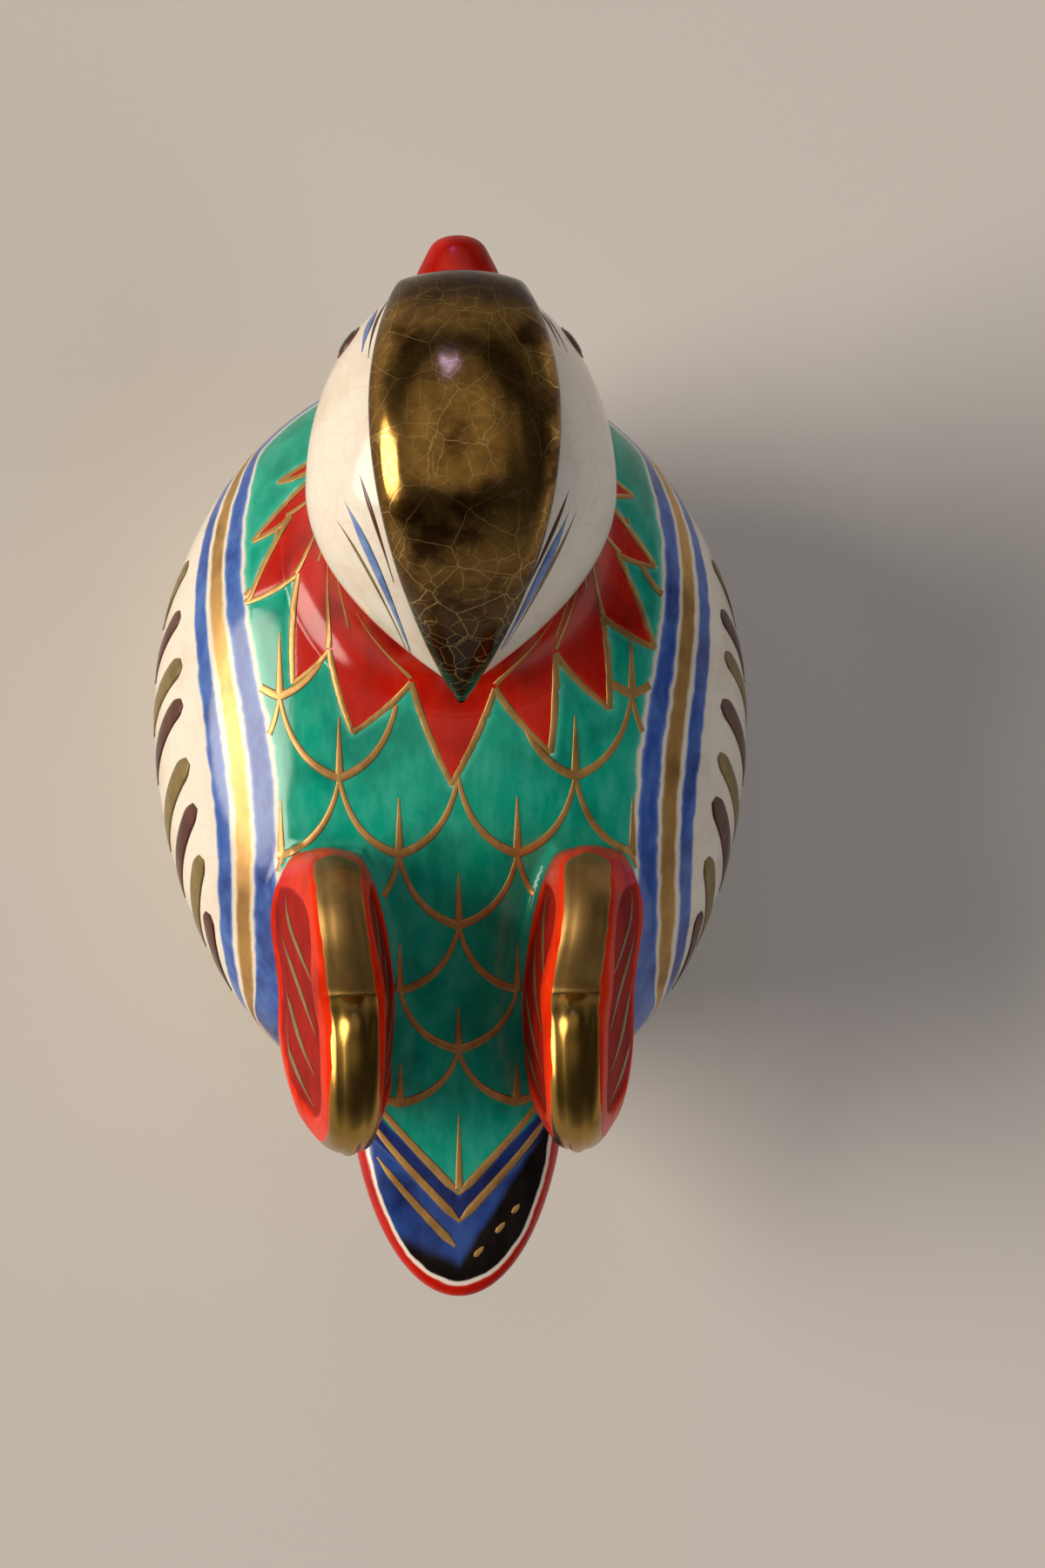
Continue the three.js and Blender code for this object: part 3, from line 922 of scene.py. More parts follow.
                # The collar's middle tooth takes the place of one scale.
                if row == 0 and column == 0:
                    continue
                across = (column + 0.5 * (row % 2)) * self.pitch
                station = self.row_station(row)
                places.append((across * MM, station * MM, self.hover * MM))
                squash.append((self.row_station(row - 1) - station) / self.row_height)
        mesh = bpy.data.meshes.new(name)
        mesh.from_pydata(places, [], [])
        mesh.attributes.new("squash", "FLOAT", "POINT").data.foreach_set("value", squash)
        sizes = {
            "Pitch": self.pitch,
            "Row Height": self.row_height,
            "Quill": self.quill,
            "Thin Half": self.thin_half,
            "Thick Half": self.thick_half,
        }
        return brush.lay(mesh, self.tree(), ground, finish, sizes)


# The body


@dataclass(frozen=True)
class EggForm:
    """The egg of the body, which box and lid share. Angles are in radians."""

    half_width: float = 24.9
    breast: float = 30.0
    rump: float = 34.0
    seam: float = 21.0
    rise: float = 16.0
    drop: float = 25.0
    fullness: float = 2.2

    def surface(self, around: Array, up: float | Array, inset: float = 0.0) -> Array:
        """Places points on the egg.

        Args:
            around: Angle from the duck's right towards its breast.
            up: Angle above the seam, negative below it.
            inset: How far the egg is drawn in.

        Returns:
            Points in millimetres, one to a row.
        """
        up = np.zeros_like(around) + up
        power = 2 / self.fullness
        spread = np.abs(np.cos(up)) ** power
        lift = np.sign(up) * np.abs(np.sin(up)) ** power
        reach = np.where(np.sin(around) > 0, self.breast, self.rump) - inset
        depth = np.where(up > 0, self.rise, self.drop) - inset
        x = spread * np.cos(around) * (self.half_width - inset)
        return np.stack([x, spread * np.sin(around) * reach, self.seam + lift * depth], axis=-1)

    def height(self, x: Array, y: Array) -> Array:
        """Gives the height of the back over a place in the plan.

        Args:
            x: Places across the body.
            y: Places along the body.

        Returns:
            Heights above the table.
        """
        reach = np.where(np.asarray(y) > 0, self.breast, self.rump)
        across = np.hypot(x / self.half_width, y / reach)
        return self.seam + self.rise * np.maximum(0, 1 - across**self.fullness) ** (1 / self.fullness)

    def up_at(self, level: float, inset: float = 0.0) -> float:
        """Gives the angle above the seam at a level, negative below it.

        Args:
            level: Height above the table.
            inset: How far the egg is drawn in.

        Returns:
            The angle.
        """
        depth = (self.rise if level > self.seam else self.drop) - inset
        share = min(1.0, abs(level - self.seam) / depth)
        return math.copysign(math.asin(share ** (self.fullness / 2)), level - self.seam)


@dataclass(frozen=True)
class Bands:
    """The three painted bands that run round the body between the back and the flanks.

    Angles are in degrees.
    """

    peak: float = 37.4
    centre: float = -8.5
    front_fall: float = 0.0135
    rear_fall: float = 0.0047
    rear_power: float = 2.5
    low: float = -5.0
    low_round: float = 6.0
    per_degree: float = 0.32
    slant: float = 0.71

    def edge(self, side: Array) -> Array:
        """Gives the angle above the seam of the bands' outer edge.

        Args:
            side: Angle along the flank, 0 at the widest station and positive towards the breast.

        Returns:
            Angles above the seam.
        """
        ahead = np.maximum(side - self.centre, 0)
        behind = np.maximum(self.centre - side, 0)
        hump = self.peak - self.front_fall * ahead**2 - self.rear_fall * behind**self.rear_power
        over = hump - self.low
        return self.low + (over + np.sqrt(over**2 + self.low_round**2)) / 2

    def field(self, around: Array, up: float | Array) -> Array:
        """Measures millimetres from the bands' outer edge up towards the back.

        Args:
            around: Angle round the egg in radians.
            up: Angle above the seam in radians.

        Returns:
            Distances square to the edge, negative on the flank.
        """
        side = np.degrees(np.arcsin(np.clip(np.sin(around), -1, 1)))
        steep = (self.edge(side + 0.5) - self.edge(side - 0.5)) * self.slant
        return (np.degrees(up) - self.edge(side)) * self.per_degree / np.sqrt(1 + steep**2)


@dataclass(frozen=True)
class Collar:
    """The sawtooth collar of red feathers round the neck.

    teeth are the corners of its outline, valley and tip in turn, each as an angle in degrees from the rear
    towards the duck's right and a distance from the neck's foot. plan_reach is its reach seen from above.
    """

    station: float = 13.0
    bulge: float = 0.22
    line_half: float = 0.25
    plan_reach: float = 17.0
    teeth: tuple[tuple[float, float], ...] = (
        (-170, 13.0), (-136, 16.5), (-148, 13.0), (-113, 16.5), (-126, 13.2), (-94, 17.0), (-103, 14.0),
        (-76.8, 17.4), (-81.8, 12.9), (-51, 16.9), (-51.5, 13.0), (-29.6, 16.9), (-18.7, 11.5), (-1.5, 18.9),
        (14.8, 11.8), (24.3, 18.0), (42.7, 11.6), (43.6, 17.8), (65.2, 13.0), (64, 18.0), (89, 13.4),
        (86, 16.9), (113, 13.2), (108, 16.5), (138, 13.0), (130, 16.5), (164, 13.0), (178, 16.3),
    )

    def flat(self, egg: EggForm, x: Array, y: Array) -> Array:
        """Unrolls places on the back round the neck's axis.

        Args:
            egg: Form of the body.
            x: Places across the body.
            y: Places along the body.

        Returns:
            Places in a plane, whose distance from the origin is that from the neck's foot.
        """
        forward = y - self.station
        fall = egg.height(x, y) - egg.height(0.0, self.station)
        plan = np.maximum(np.hypot(x, forward), 1e-6)
        share = np.sqrt(plan**2 + fall**2) / plan
        return np.stack([x * share, forward * share], axis=-1)

    def laid(self, egg: EggForm, flat: Array) -> Array:
        """Lays unrolled places back on the body.

        Args:
            egg: Form of the body.
            flat: Places in the plane.

        Returns:
            Points on the back.
        """
        steps = np.linspace(0, self.plan_reach, 200)
        found = []
        for u, v in flat:
            reach = math.hypot(u, v)
            ray = np.array([u, v]) / max(reach, 1e-9)
            x, y = steps * ray[0], self.station + steps * ray[1]
            chord = np.hypot(steps, egg.height(x, y) - egg.height(0.0, self.station))
            plan = np.interp(reach, chord, steps) if reach < chord[-1] else reach
            spot = ray * plan + np.array([0, self.station])
            found.append((spot[0], spot[1], float(egg.height(spot[0], spot[1]))))
        return np.array(found)

    def sides(self) -> list[Array]:
        """Gives each side of each tooth in the plane, from valley to tip and from tip to valley.

        Returns:
            Rows of points for each side, in order round the neck.
        """
        turns = np.radians([angle for angle, _ in self.teeth])
        reach = np.array([reach for _, reach in self.teeth])
        corners = np.column_stack([np.sin(turns), -np.cos(turns)]) * reach[:, None]
        made = []
        for index, (start, end) in enumerate(zip(corners, np.roll(corners, -1, axis=0))):
            run = end - start
            out = np.array([run[1], -run[0]]) / np.linalg.norm(run)
            rising = index % 2 == 0
            towards = corners[index - 1] if not rising else corners[(index + 2) % len(corners)]
            inner = (towards + (start if rising else end)) / 2
            out = out if np.dot((start + end) / 2 - inner, out) > 0 else -out
            made.append(bezier([start, (start + end) / 2 + 2 * self.bulge * out, end], 16))
        return made

    def field(self, egg: EggForm, x: Array, y: Array) -> Array:
        """Measures millimetres inside the collar, negative outside it."""
        outline = np.vstack([side[:-1] for side in self.sides()])
        return -distance_to(self.flat(egg, x, y), outline)


@dataclass(frozen=True)
class SailPlan:
    """Where the sails stand, seen from above: two leaves that come closer together towards the tail.

    Pairs are stations along the body between which something begins or ends: the leaves closing in, the slip
    running out, and the blue band tucked in beside the feet.
    """

    front: float = -11.0
    rear: float = -34.5
    front_spread: float = 10.5
    rear_spread: float = 9.45
    foot_half: float = 4.5
    full_from: float = -18.0
    full_to: float = -25.0
    foot_rear: float = -28.5
    fillet: float = 1.2
    fillet_share: float = 0.8
    front_round: float = 1.2
    rear_round: float = 1.0
    closing: tuple[float, float] = (-24.0, -14.0)
    slip_end: tuple[float, float] = (-27.0, -20.0)
    tuck_front: tuple[float, float] = (-13.0, -18.0)
    tuck_rear: tuple[float, float] = (-30.0, -27.5)

    def spread(self, y: Array) -> Array:
        """Gives the distance of a leaf's middle from the body's."""
        return self.rear_spread + (self.front_spread - self.rear_spread) * ease(*self.closing, y)

    def fullness(self, y: Array) -> Array:
        """Gives the leaf's thickness from 0 to 1, rounded off at both ends.

        Args:
            y: Places along the body.

        Returns:
            Shares of the full thickness.
        """
        ahead = np.clip((y - self.full_from) / (self.front - self.full_from + self.front_round), 0, 1)
        behind = np.clip((self.full_to - y) / (self.full_to - self.rear + self.rear_round), 0, 1)
        return np.sqrt(1 - np.maximum(ahead, behind) ** 2)

    def distance(self, x: Array, y: Array) -> Array:
        """Measures how far places lie from the nearer foot, negative inside it.

        Args:
            x: Places across the body.
            y: Places along the body.

        Returns:
            Distances in the plan.
        """
        held = np.clip(y, self.foot_rear, self.front - 0.3)
        beside = np.abs(np.abs(x) - self.spread(held)) - self.foot_half * self.fullness(held)
        beyond = np.abs(y - held)
        return np.where(beyond > 0, np.hypot(np.maximum(beside, 0), beyond), beside)

    def rise(self, x: Array, y: Array) -> Array:
        """Gives the height of the slip run up round the feet, which runs out towards the tail."""
        left = np.clip(self.fillet - self.distance(x, y), 0, self.fillet_share * self.fillet)
        return (self.fillet - np.sqrt(self.fillet**2 - left**2)) * ease(*self.slip_end, y)

    def tucked(self, x: Array, y: Array) -> Array:
        """Gives from 0 to 1 where the blue band is tucked in outside the feet."""
        outer = ease(-0.5, 0.5, np.abs(x) - self.spread(y))
        return outer * ease(*self.tuck_front, y) * ease(*self.tuck_rear, y)


EGG = EggForm()
BANDS = Bands()
COLLAR = Collar()
SAIL_PLAN = SailPlan()

# Millimetres of the band field at which each band starts and ends
OUTER_BLUE = (0.0, 1.52)
GOLD_BAND = (2.0, 3.44)
INNER_BLUE = (3.76, 5.4)
GREEN_START = 5.75

# How far the blue reaches in beside the sails, and how far apart green, gold lines, collar and feet keep
BLUE_TUCK = 0.6
COLLAR_GAP = 0.05
FOOT_GAP = 0.3
LINE_GAP = 0.1

# How far behind the middle the gold lines of the back may reach, ahead of the tail's root
LINES_END = 29.0

BODY_COATS = (
    Coat("field_green", GREEN, 0.0, soft=0.2, body=0.8, wobble=0.15),
    Coat("band", BLUE, *OUTER_BLUE, soft=0.14, body=0.35),
    Coat("band", LINE_GOLD, *GOLD_BAND, soft=0.14, body=0.3),
    Coat("band", BLUE, *INNER_BLUE, soft=0.14, body=0.4),
    Coat("collar", RED, 0.0, body=0.7, wobble=0.05),
    # Painted shade: the red darkens to maroon deep inside the collar and up the neck, under the head
    Coat("collar", SHADED_RED, 2.0, soft=1.5, body=1.5, wobble=0.3),
    Coat("clay", CLAY, 0.0, soft=0.15, wobble=0.2),
)


def painted_fields(points: Array, around: Array, up: float, outside: bool, clay: float) -> dict[str, Array]:
    """Works out the distance fields of the body's painting for one row of points.

    Args:
        points: Points in millimetres.
        around: Angle of each point round the egg.
        up: Angle of the row above the seam.
        outside: Whether the row lies on the painted outside.
        clay: Distance inside the bare clay, negative under glaze.

    Returns:
        Values for each field.
    """
    count = len(points)
    bare = np.full(count, clay)
    if not outside:
        away = np.full(count, -FAR)
        return {"band": away, "collar": away, "field_green": away, "room": away, "clay": bare}
    band = BANDS.field(around, up)
    collar = np.full(count, -FAR)
    x, y = points[:, 0], points[:, 1]
    back = points[:, 2] > EGG.seam
    collar[back] = COLLAR.field(EGG, x[back], y[back])
    foot = SAIL_PLAN.distance(x, y)
    band = band - SAIL_PLAN.tucked(x, y) * np.maximum(band - INNER_BLUE[1] + BLUE_TUCK, 0)
    green = np.minimum(np.minimum(band - GREEN_START, -collar - COLLAR_GAP), foot + FOOT_GAP)
    room = np.minimum(np.minimum(band - INNER_BLUE[1] - LINE_GAP, -collar + COLLAR_GAP), foot - FOOT_GAP)
    room = np.minimum(room, y + LINES_END)
    return {"band": band, "collar": collar, "field_green": green, "room": room, "clay": bare}


def by_name(kept: Sequence[dict[str, Array]]) -> Fields:
    """Gathers the fields of all rows under their names."""
    return {name: [fields[name] for fields in kept] for name in kept[0]}


@dataclass
class BoxHalf:
    """The lower half of the body and the rim that seats the lid."""

    wall: float = 3.2
    floor: float = 3.5
    edge_round: float = 0.5
    floor_round: float = 0.35
    bare_foot: float = 1.1
    rim_outer: float = 3.5
    rim_inner: float = 5.3
    rim_top: float = 24.0
    rim_foot: float = 17.0
    columns: int = 320
    rows: int = 70

    def shell(self) -> Piece:
        """Builds the bowl with its hollow.

        Returns:
            The new object with its painted fields.
        """
        around = once_round(self.columns)
        rows: list[Array] = []
        kept: list[dict[str, Array]] = []

        def lay(points: Array, up: float, outside: bool, clay: float) -> None:
            """Adds one row with its fields.

            Args:
                points: Points in millimetres.
                up: Angle of the row above the seam.
                outside: Whether the row lies on the painted outside.
                clay: Distance inside the bare clay, negative under glaze.
            """
            rows.append(points)
            kept.append(painted_fields(points, around, up, outside, clay))

        lay(np.array([[0, 0, self.floor]], float), 0, False, -FAR)
        low = EGG.up_at(self.floor, self.wall)
        corner = EGG.surface(around, low, self.wall)
        for share in (0.35, 0.7, 0.92, 0.98):
            flat = corner * [share, share, 1]
            flat[:, 2] = self.floor + self.floor_round * max(0.0, share - 0.9) / 0.1
            lay(flat, 0, False, -FAR)
        for level in np.linspace(low * 0.93, 0.0, 30):
            lay(EGG.surface(around, level, self.wall), 0, False, -FAR)
        rim = EGG.surface(around, 0.0)
        inner = EGG.surface(around, 0.0, self.wall)
        lay(inner - [0, 0, 0.05], 0, False, 0.1)
        for share in (0.1, 0.85):
            lay(inner + (rim - inner) * share, 0, False, 0.6)
        for turn in (0.0, 0.35, 0.7, 1.0):
            angle = turn * math.pi / 2
            inset = self.edge_round * (1 - math.sin(angle))
            drop = self.edge_round * (1 - math.cos(angle))
            level = EGG.up_at(EGG.seam - drop)
            lay(EGG.surface(around, level, inset * 0.9), 0, True, -0.2 - turn)
        base = EGG.up_at(0.0)
        for level in np.linspace(EGG.up_at(EGG.seam - self.edge_round), base, self.rows)[1:]:
            points = EGG.surface(around, level)
            lay(points, level, True, float(self.bare_foot - points[0, 2]))
        foot = EGG.surface(around, base)
        for share in (0.985, 0.95, 0.6, 0.3):
            lay(foot * [share, share, 0], 0, False, 2.0)
        lay(np.zeros((1, 3)), 0, False, 2.0)
        return closed_mesh("glazed_box", rows, by_name(kept))

    def rim(self) -> Piece:
        """Builds the upstanding strip inside the mouth.

        Returns:
            The new object.
        """
        around = once_round(self.columns)
        middle = (self.rim_top - self.rim_foot) / 2
        half = (self.rim_inner - self.rim_outer) / 2
        rows = []
        for turn in once_round(40):
            across = math.copysign(abs(math.cos(turn)) ** 0.25, math.cos(turn))
            rise = math.copysign(abs(math.sin(turn)) ** 0.25, math.sin(turn))
            level = self.rim_foot + middle * (1 + rise)
            inset = (self.rim_outer + self.rim_inner) / 2 - half * across
            points = EGG.surface(around, EGG.up_at(level, inset), inset)
            points[:, 2] = level
            rows.append(points)
        return closed_mesh("clay_seat_rim", rows, {}, ring=True)

    def dress(self, body_glaze: Finish) -> None:
        """Builds and dresses the lower half.

        Args:
            body_glaze: The body's painted glaze.
        """
        settle(self.shell(), Body.BOX, body_glaze, ["box_shell"])
        clay = PaintedGlaze("bare_fired_clay", CLAY, streak_size=0.8).make()
        settle(self.rim(), Body.BOX, clay, ["seat_rim"])


@dataclass
class LidDome:
    """The upper half of the body with its painting and the flank strokes.

    Spacing, first place, sweep and foot of the strokes are in degrees of the egg, and stroke_gap is how far
    below the bands they start.
    """

    wall: float = 3.0
    edge: float = 21.3
    edge_round: float = 0.5
    relief: float = 0.07
    columns: int = 480
    rows: int = 150
    stroke_spacing: float = 8.0
    stroke_first: float = 26.0
    stroke_count: int = 9
    stroke_half: float = 0.88
    stroke_sweep: float = 11.0
    stroke_foot: float = 2.0
    stroke_gap: tuple[float, float] = (6.5, 8.0)
    stroke_clear: float = 1.5
    seed: int = 7

    def shell(self) -> Piece:
        """Builds the dome with its hollow.

        Returns:
            The new object with its painted fields.
        """
        around = once_round(self.columns)
        rows: list[Array] = [np.array([[0, 0, EGG.seam + EGG.rise]], float)]
        kept = [painted_fields(rows[0], np.zeros(1), math.pi / 2, True, -FAR)]
        lowest = EGG.up_at(self.edge + self.edge_round)
        for level in np.linspace(math.pi / 2, lowest, self.rows)[1:]:
            points = EGG.surface(around, level)
            fields = painted_fields(points, around, level, True, -FAR)
            thick = ease(0.0, 0.5, fields["field_green"]) + ease(0.0, 0.3, fields["collar"])
            points[:, 2] += self.relief * thick + SAIL_PLAN.rise(points[:, 0], points[:, 1])
            rows.append(points)
            kept.append(fields)
        corner = EGG.up_at(self.edge)
        for turn in (0.35, 0.7, 1.0):
            angle = turn * math.pi / 2
            inset = self.edge_round * (1 - math.cos(angle))
            points = EGG.surface(around, corner, inset)
            points[:, 2] = self.edge + self.edge_round * (1 - math.sin(angle))
            rows.append(points)
            kept.append(painted_fields(points, around, corner, True, turn - 1.1))
        for inset, clay in ((0.8, 0.4), (self.wall - 0.4, 0.4), (self.wall, -0.2)):
            points = EGG.surface(around, corner, inset)
            points[:, 2] = self.edge
            rows.append(points)
            kept.append(painted_fields(points, around, corner, False, clay))
        for level in np.linspace(corner, math.pi / 2, 16)[1:]:
            points = EGG.surface(around, level, self.wall)
            points = points[:1] if level == math.pi / 2 else points
            rows.append(points)
            kept.append(painted_fields(points, around, level, False, -FAR))
        return closed_mesh("enamelled_lid", rows, by_name(kept))

    def flank_strokes(self, parity: int) -> Strokes:
        """Draws every other oblique stroke of the flank feathers on both sides.

        Args:
            parity: 0 for the first of each pair of strokes, 1 for the second.

        Returns:
            Points and half widths along each stroke.
        """
        rng = np.random.default_rng(self.seed + parity)
        made = []
        for side in Side:
            for index in range(parity, self.stroke_count, 2):
                front = self.stroke_first - self.stroke_spacing * index + rng.uniform(-1.0, 1.0)
                share = np.linspace(0, 1, 26)
                turn = np.radians(front - share * self.stroke_sweep)
                top = float(BANDS.edge(np.array(front))) - rng.uniform(*self.stroke_gap)
                fall = top + (self.stroke_foot - top) * share
                level = np.radians(np.maximum(fall, self.stroke_foot))
                around = turn if side is Side.RIGHT else math.pi - turn
                width = self.stroke_half * ease(-0.1, 0.12, share) * (1 - 0.3 * ease(0.7, 1.05, share))
                width = width * rng.uniform(0.9, 1.1)
                if np.all(np.degrees(level) < BANDS.edge(np.degrees(turn)) - self.stroke_clear):
                    made.append((EGG.surface(around, level), width))
        return made

    def dress(self, body_glaze: Finish) -> Piece:
        """Builds and dresses the dome and its flank strokes.

        Args:
            body_glaze: The body's painted glaze.

        Returns:
            The dome.
        """
        dome = settle(self.shell(), Body.LID, body_glaze, ["lid_shell"])
        brush = Brushwork(flatness=0.13)
        for parity, (name, paint) in enumerate((("olive", OLIVE), ("brown", BROWN))):
            finish = PaintedGlaze(f"{name}_stroke_paint", paint, streak_size=0.9).make()
            strokes = brush.paint(f"flank_strokes_{name}", self.flank_strokes(parity), [dome], finish)
            settle(strokes, Body.LID)
        return dome


# Neck, head and what the head carries


@dataclass
class Neck:
    """The red neck, a flare that runs out flat on the back, with gold hackle lines.

    hackle_sweep and plume_turns are in degrees round the neck. plume gives where the short lines between the
    hackles start and end along the flare, and their half width.
    """

    station: float = 13.0
    waist: float = 9.8
    foot: float = 13.9
    flare: float = 6.4
    climb: float = 12.0
    skin: float = 0.06
    sunk: float = 0.8
    columns: int = 240
    line_lift: float = 0.2
    hackle_sweep: float = 33.0
    hackle_limit: float = 178.0
    hackle_end: float = 0.72
    hackle_half: float = 0.26
    plume: tuple[float, float, float] = (0.46, 0.95, 0.18)
    plume_turns: tuple[float, float] = (10.0, 140.0)
    seed: int = 3

    def __post_init__(self) -> None:
        """Works out the tilt of the neck from the slope of the back."""
        step = 0.03
        level = float(EGG.height(0.0, self.station))
        self.slope = (float(EGG.height(0.0, self.station + step)) - level) / step
        self.origin = np.array([0.0, self.station, level])
        tilt = math.atan(self.slope)
        self.axis = np.array([0.0, -math.sin(tilt), math.cos(tilt)])
        self.forward = np.array([0.0, math.cos(tilt), math.sin(tilt)])

    def place(self, around: Array, radius: Array, height: Array) -> Array:
        """Places points on the neck, whose foot is bent down to the back.

        Args:
            around: Angle from the duck's right towards its breast.
            radius: Distance from the neck's axis.
            height: Height along the axis.

        Returns:
            Points in millimetres.
        """
        out = np.cos(around)[:, None] * np.array([1.0, 0, 0]) + np.sin(around)[:, None] * self.forward
        points = self.origin + np.asarray(radius)[:, None] * out + np.asarray(height)[:, None] * self.axis
        flat = self.origin[2] + self.slope * (points[:, 1] - self.station)
        bend = np.clip(1 - np.asarray(height) / self.flare, 0, 1)
        points[:, 2] += bend * (EGG.height(points[:, 0], points[:, 1]) - flat)
        return points

    def profile(self, share: Array) -> tuple[Array, Array]:
        """Gives radius and height along the flare, from 0 at its foot to 1 at the waist."""
        curve_radius = self.waist + (self.foot - self.waist) * (1 - share) ** 2
        return curve_radius, self.skin + self.flare * share**2

    def share_at(self, radius: Array) -> Array:
        """Gives the place along the flare at distances from the neck's axis."""
        return 1 - np.sqrt(np.clip((radius - self.waist) / (self.foot - self.waist), 0, 1))

    def rise_at(self, radius: Array) -> Array:
        """Gives the height of the flare over the back at distances from its axis, 0 beyond its foot."""
        return np.where(radius < self.foot, self.skin + self.flare * self.share_at(radius) ** 2, 0.0)

    def shell(self) -> Piece:
        """Builds the neck.

        Returns:
            The new object with the body's painted fields.
        """
        around = once_round(self.columns)
        ones = np.ones_like(around)
        rows = [self.place(np.zeros(1), np.zeros(1), np.full(1, -self.sunk))]
        under = ((self.foot * 0.6, self.sunk), (self.foot - 0.6, self.sunk), (self.foot + 0.9, 0.12))
        for radius, depth in under:
            rows.append(self.place(around, radius * ones, -depth * ones))
        for share in np.linspace(0, 1, 40):
            radius, height = self.profile(np.full_like(around, share))
            rows.append(self.place(around, radius, height))
        for height in np.linspace(self.flare, self.climb, 12)[1:]:
            rows.append(self.place(around, ones * self.waist, height * ones))
        rows.append(self.place(np.zeros(1), np.zeros(1), np.full(1, self.climb)))
        fields: Fields = {"band": [], "collar": [], "field_green": [], "clay": []}
        for row in rows:
            count = len(row)
            fields["band"].append(np.full(count, FAR))
            fields["collar"].append(COLLAR.field(EGG, row[:, 0], row[:, 1]))
            fields["field_green"].append(-fields["collar"][-1] - COLLAR_GAP)
            fields["clay"].append(np.full(count, -FAR))
        return closed_mesh("enamelled_neck", rows, fields)

    def gold_lines(self) -> Strokes:
        """Draws the outlines of the collar's teeth and the hackle lines above them.

        Returns:
            Points and half widths along each line.
        """
        rng = np.random.default_rng(self.seed)
        lines = []
        for side in COLLAR.sides():
            points = COLLAR.laid(EGG, side)
            ahead = (points[:, 1] - self.station) / self.forward[1]
            points[:, 2] += self.rise_at(np.hypot(points[:, 0], ahead)) + self.line_lift
            swell = np.sin(np.linspace(0.25, 0.85, len(points)) * math.pi)
            lines.append((points, COLLAR.line_half * (0.75 + 0.4 * swell) * rng.uniform(0.9, 1.1)))
        valleys = COLLAR.teeth[::2]
        ends = (self.hackle_end, self.hackle_half)
        hackles = [(turn, float(self.share_at(reach)), *ends) for turn, reach in valleys]
        between = [(a + b) / 2 for (a, _), (b, _) in zip(valleys, valleys[1:])]
        least, most = self.plume_turns
        for turn in between:
            if least < abs(turn) < most:
                hackles.append((turn + math.copysign(self.hackle_sweep / 2, turn), *self.plume))
        share = np.linspace(0, 1, 30)
        for turn, low, high, half in hackles:
            sweep = math.copysign(min(self.hackle_sweep, 0.7 * (self.hackle_limit - abs(turn))), turn)
            radius, height = self.profile(low + (high - low) * share)
            width = half * (1 - 0.7 * share) * rng.uniform(0.85, 1.1)
            around = np.radians(turn + sweep * share**1.2 - 90)
            lines.append((self.place(around, radius, height), width))
        return lines

    def dress(self, body_glaze: Finish, dome: Piece, gold: Finish) -> None:
        """Builds and dresses the neck.

        Args:
            body_glaze: The body's painted glaze.
            dome: The lid's dome, which carries the collar.
            gold: Gold line paint.
        """
        neck = settle(self.shell(), Body.LID, body_glaze, ["neck"])
        lines = Brushwork(flatness=0.16).paint("collar_lines", self.gold_lines(), [dome, neck], gold)
        settle(lines, Body.LID)


# Brush strokes of the cheeks: paint, half width, and three places of each stroke across and ahead
CHEEK_STROKES = {
    "brown": (BROWN, 0.17, (
        ((-7.7, 0.4), (-7.0, -2.1), (-5.2, -7.4)),
        ((7.6, -0.8), (6.7, -3.6), (3.7, -9.6)),
        ((-5.1, 14.5), (-6.6, 12.4), (-6.95, 9.0)),
        ((5.4, 13.6), (6.5, 12.2), (7.2, 10.0)),
    )),
    "blue": (SLATE, 0.38, (
        ((-8.8, -1.5), (-7.1, -5.0), (-3.5, -12.9)),
        ((7.6, -2.4), (6.1, -6.3), (2.9, -12.0)),
        ((-6.0, 13.7), (-7.1, 11.8), (-7.4, 9.6)),
    )),
    "olive": (OLIVE, 0.14, (
        ((-9.5, -2.6), (-7.6, -5.4), (-3.8, -12.6)),
        ((8.3, -2.0), (6.7, -6.2), (3.2, -11.8)),
        ((6.0, 13.1), (7.0, 11.8), (7.8, 9.6)),
    )),
}


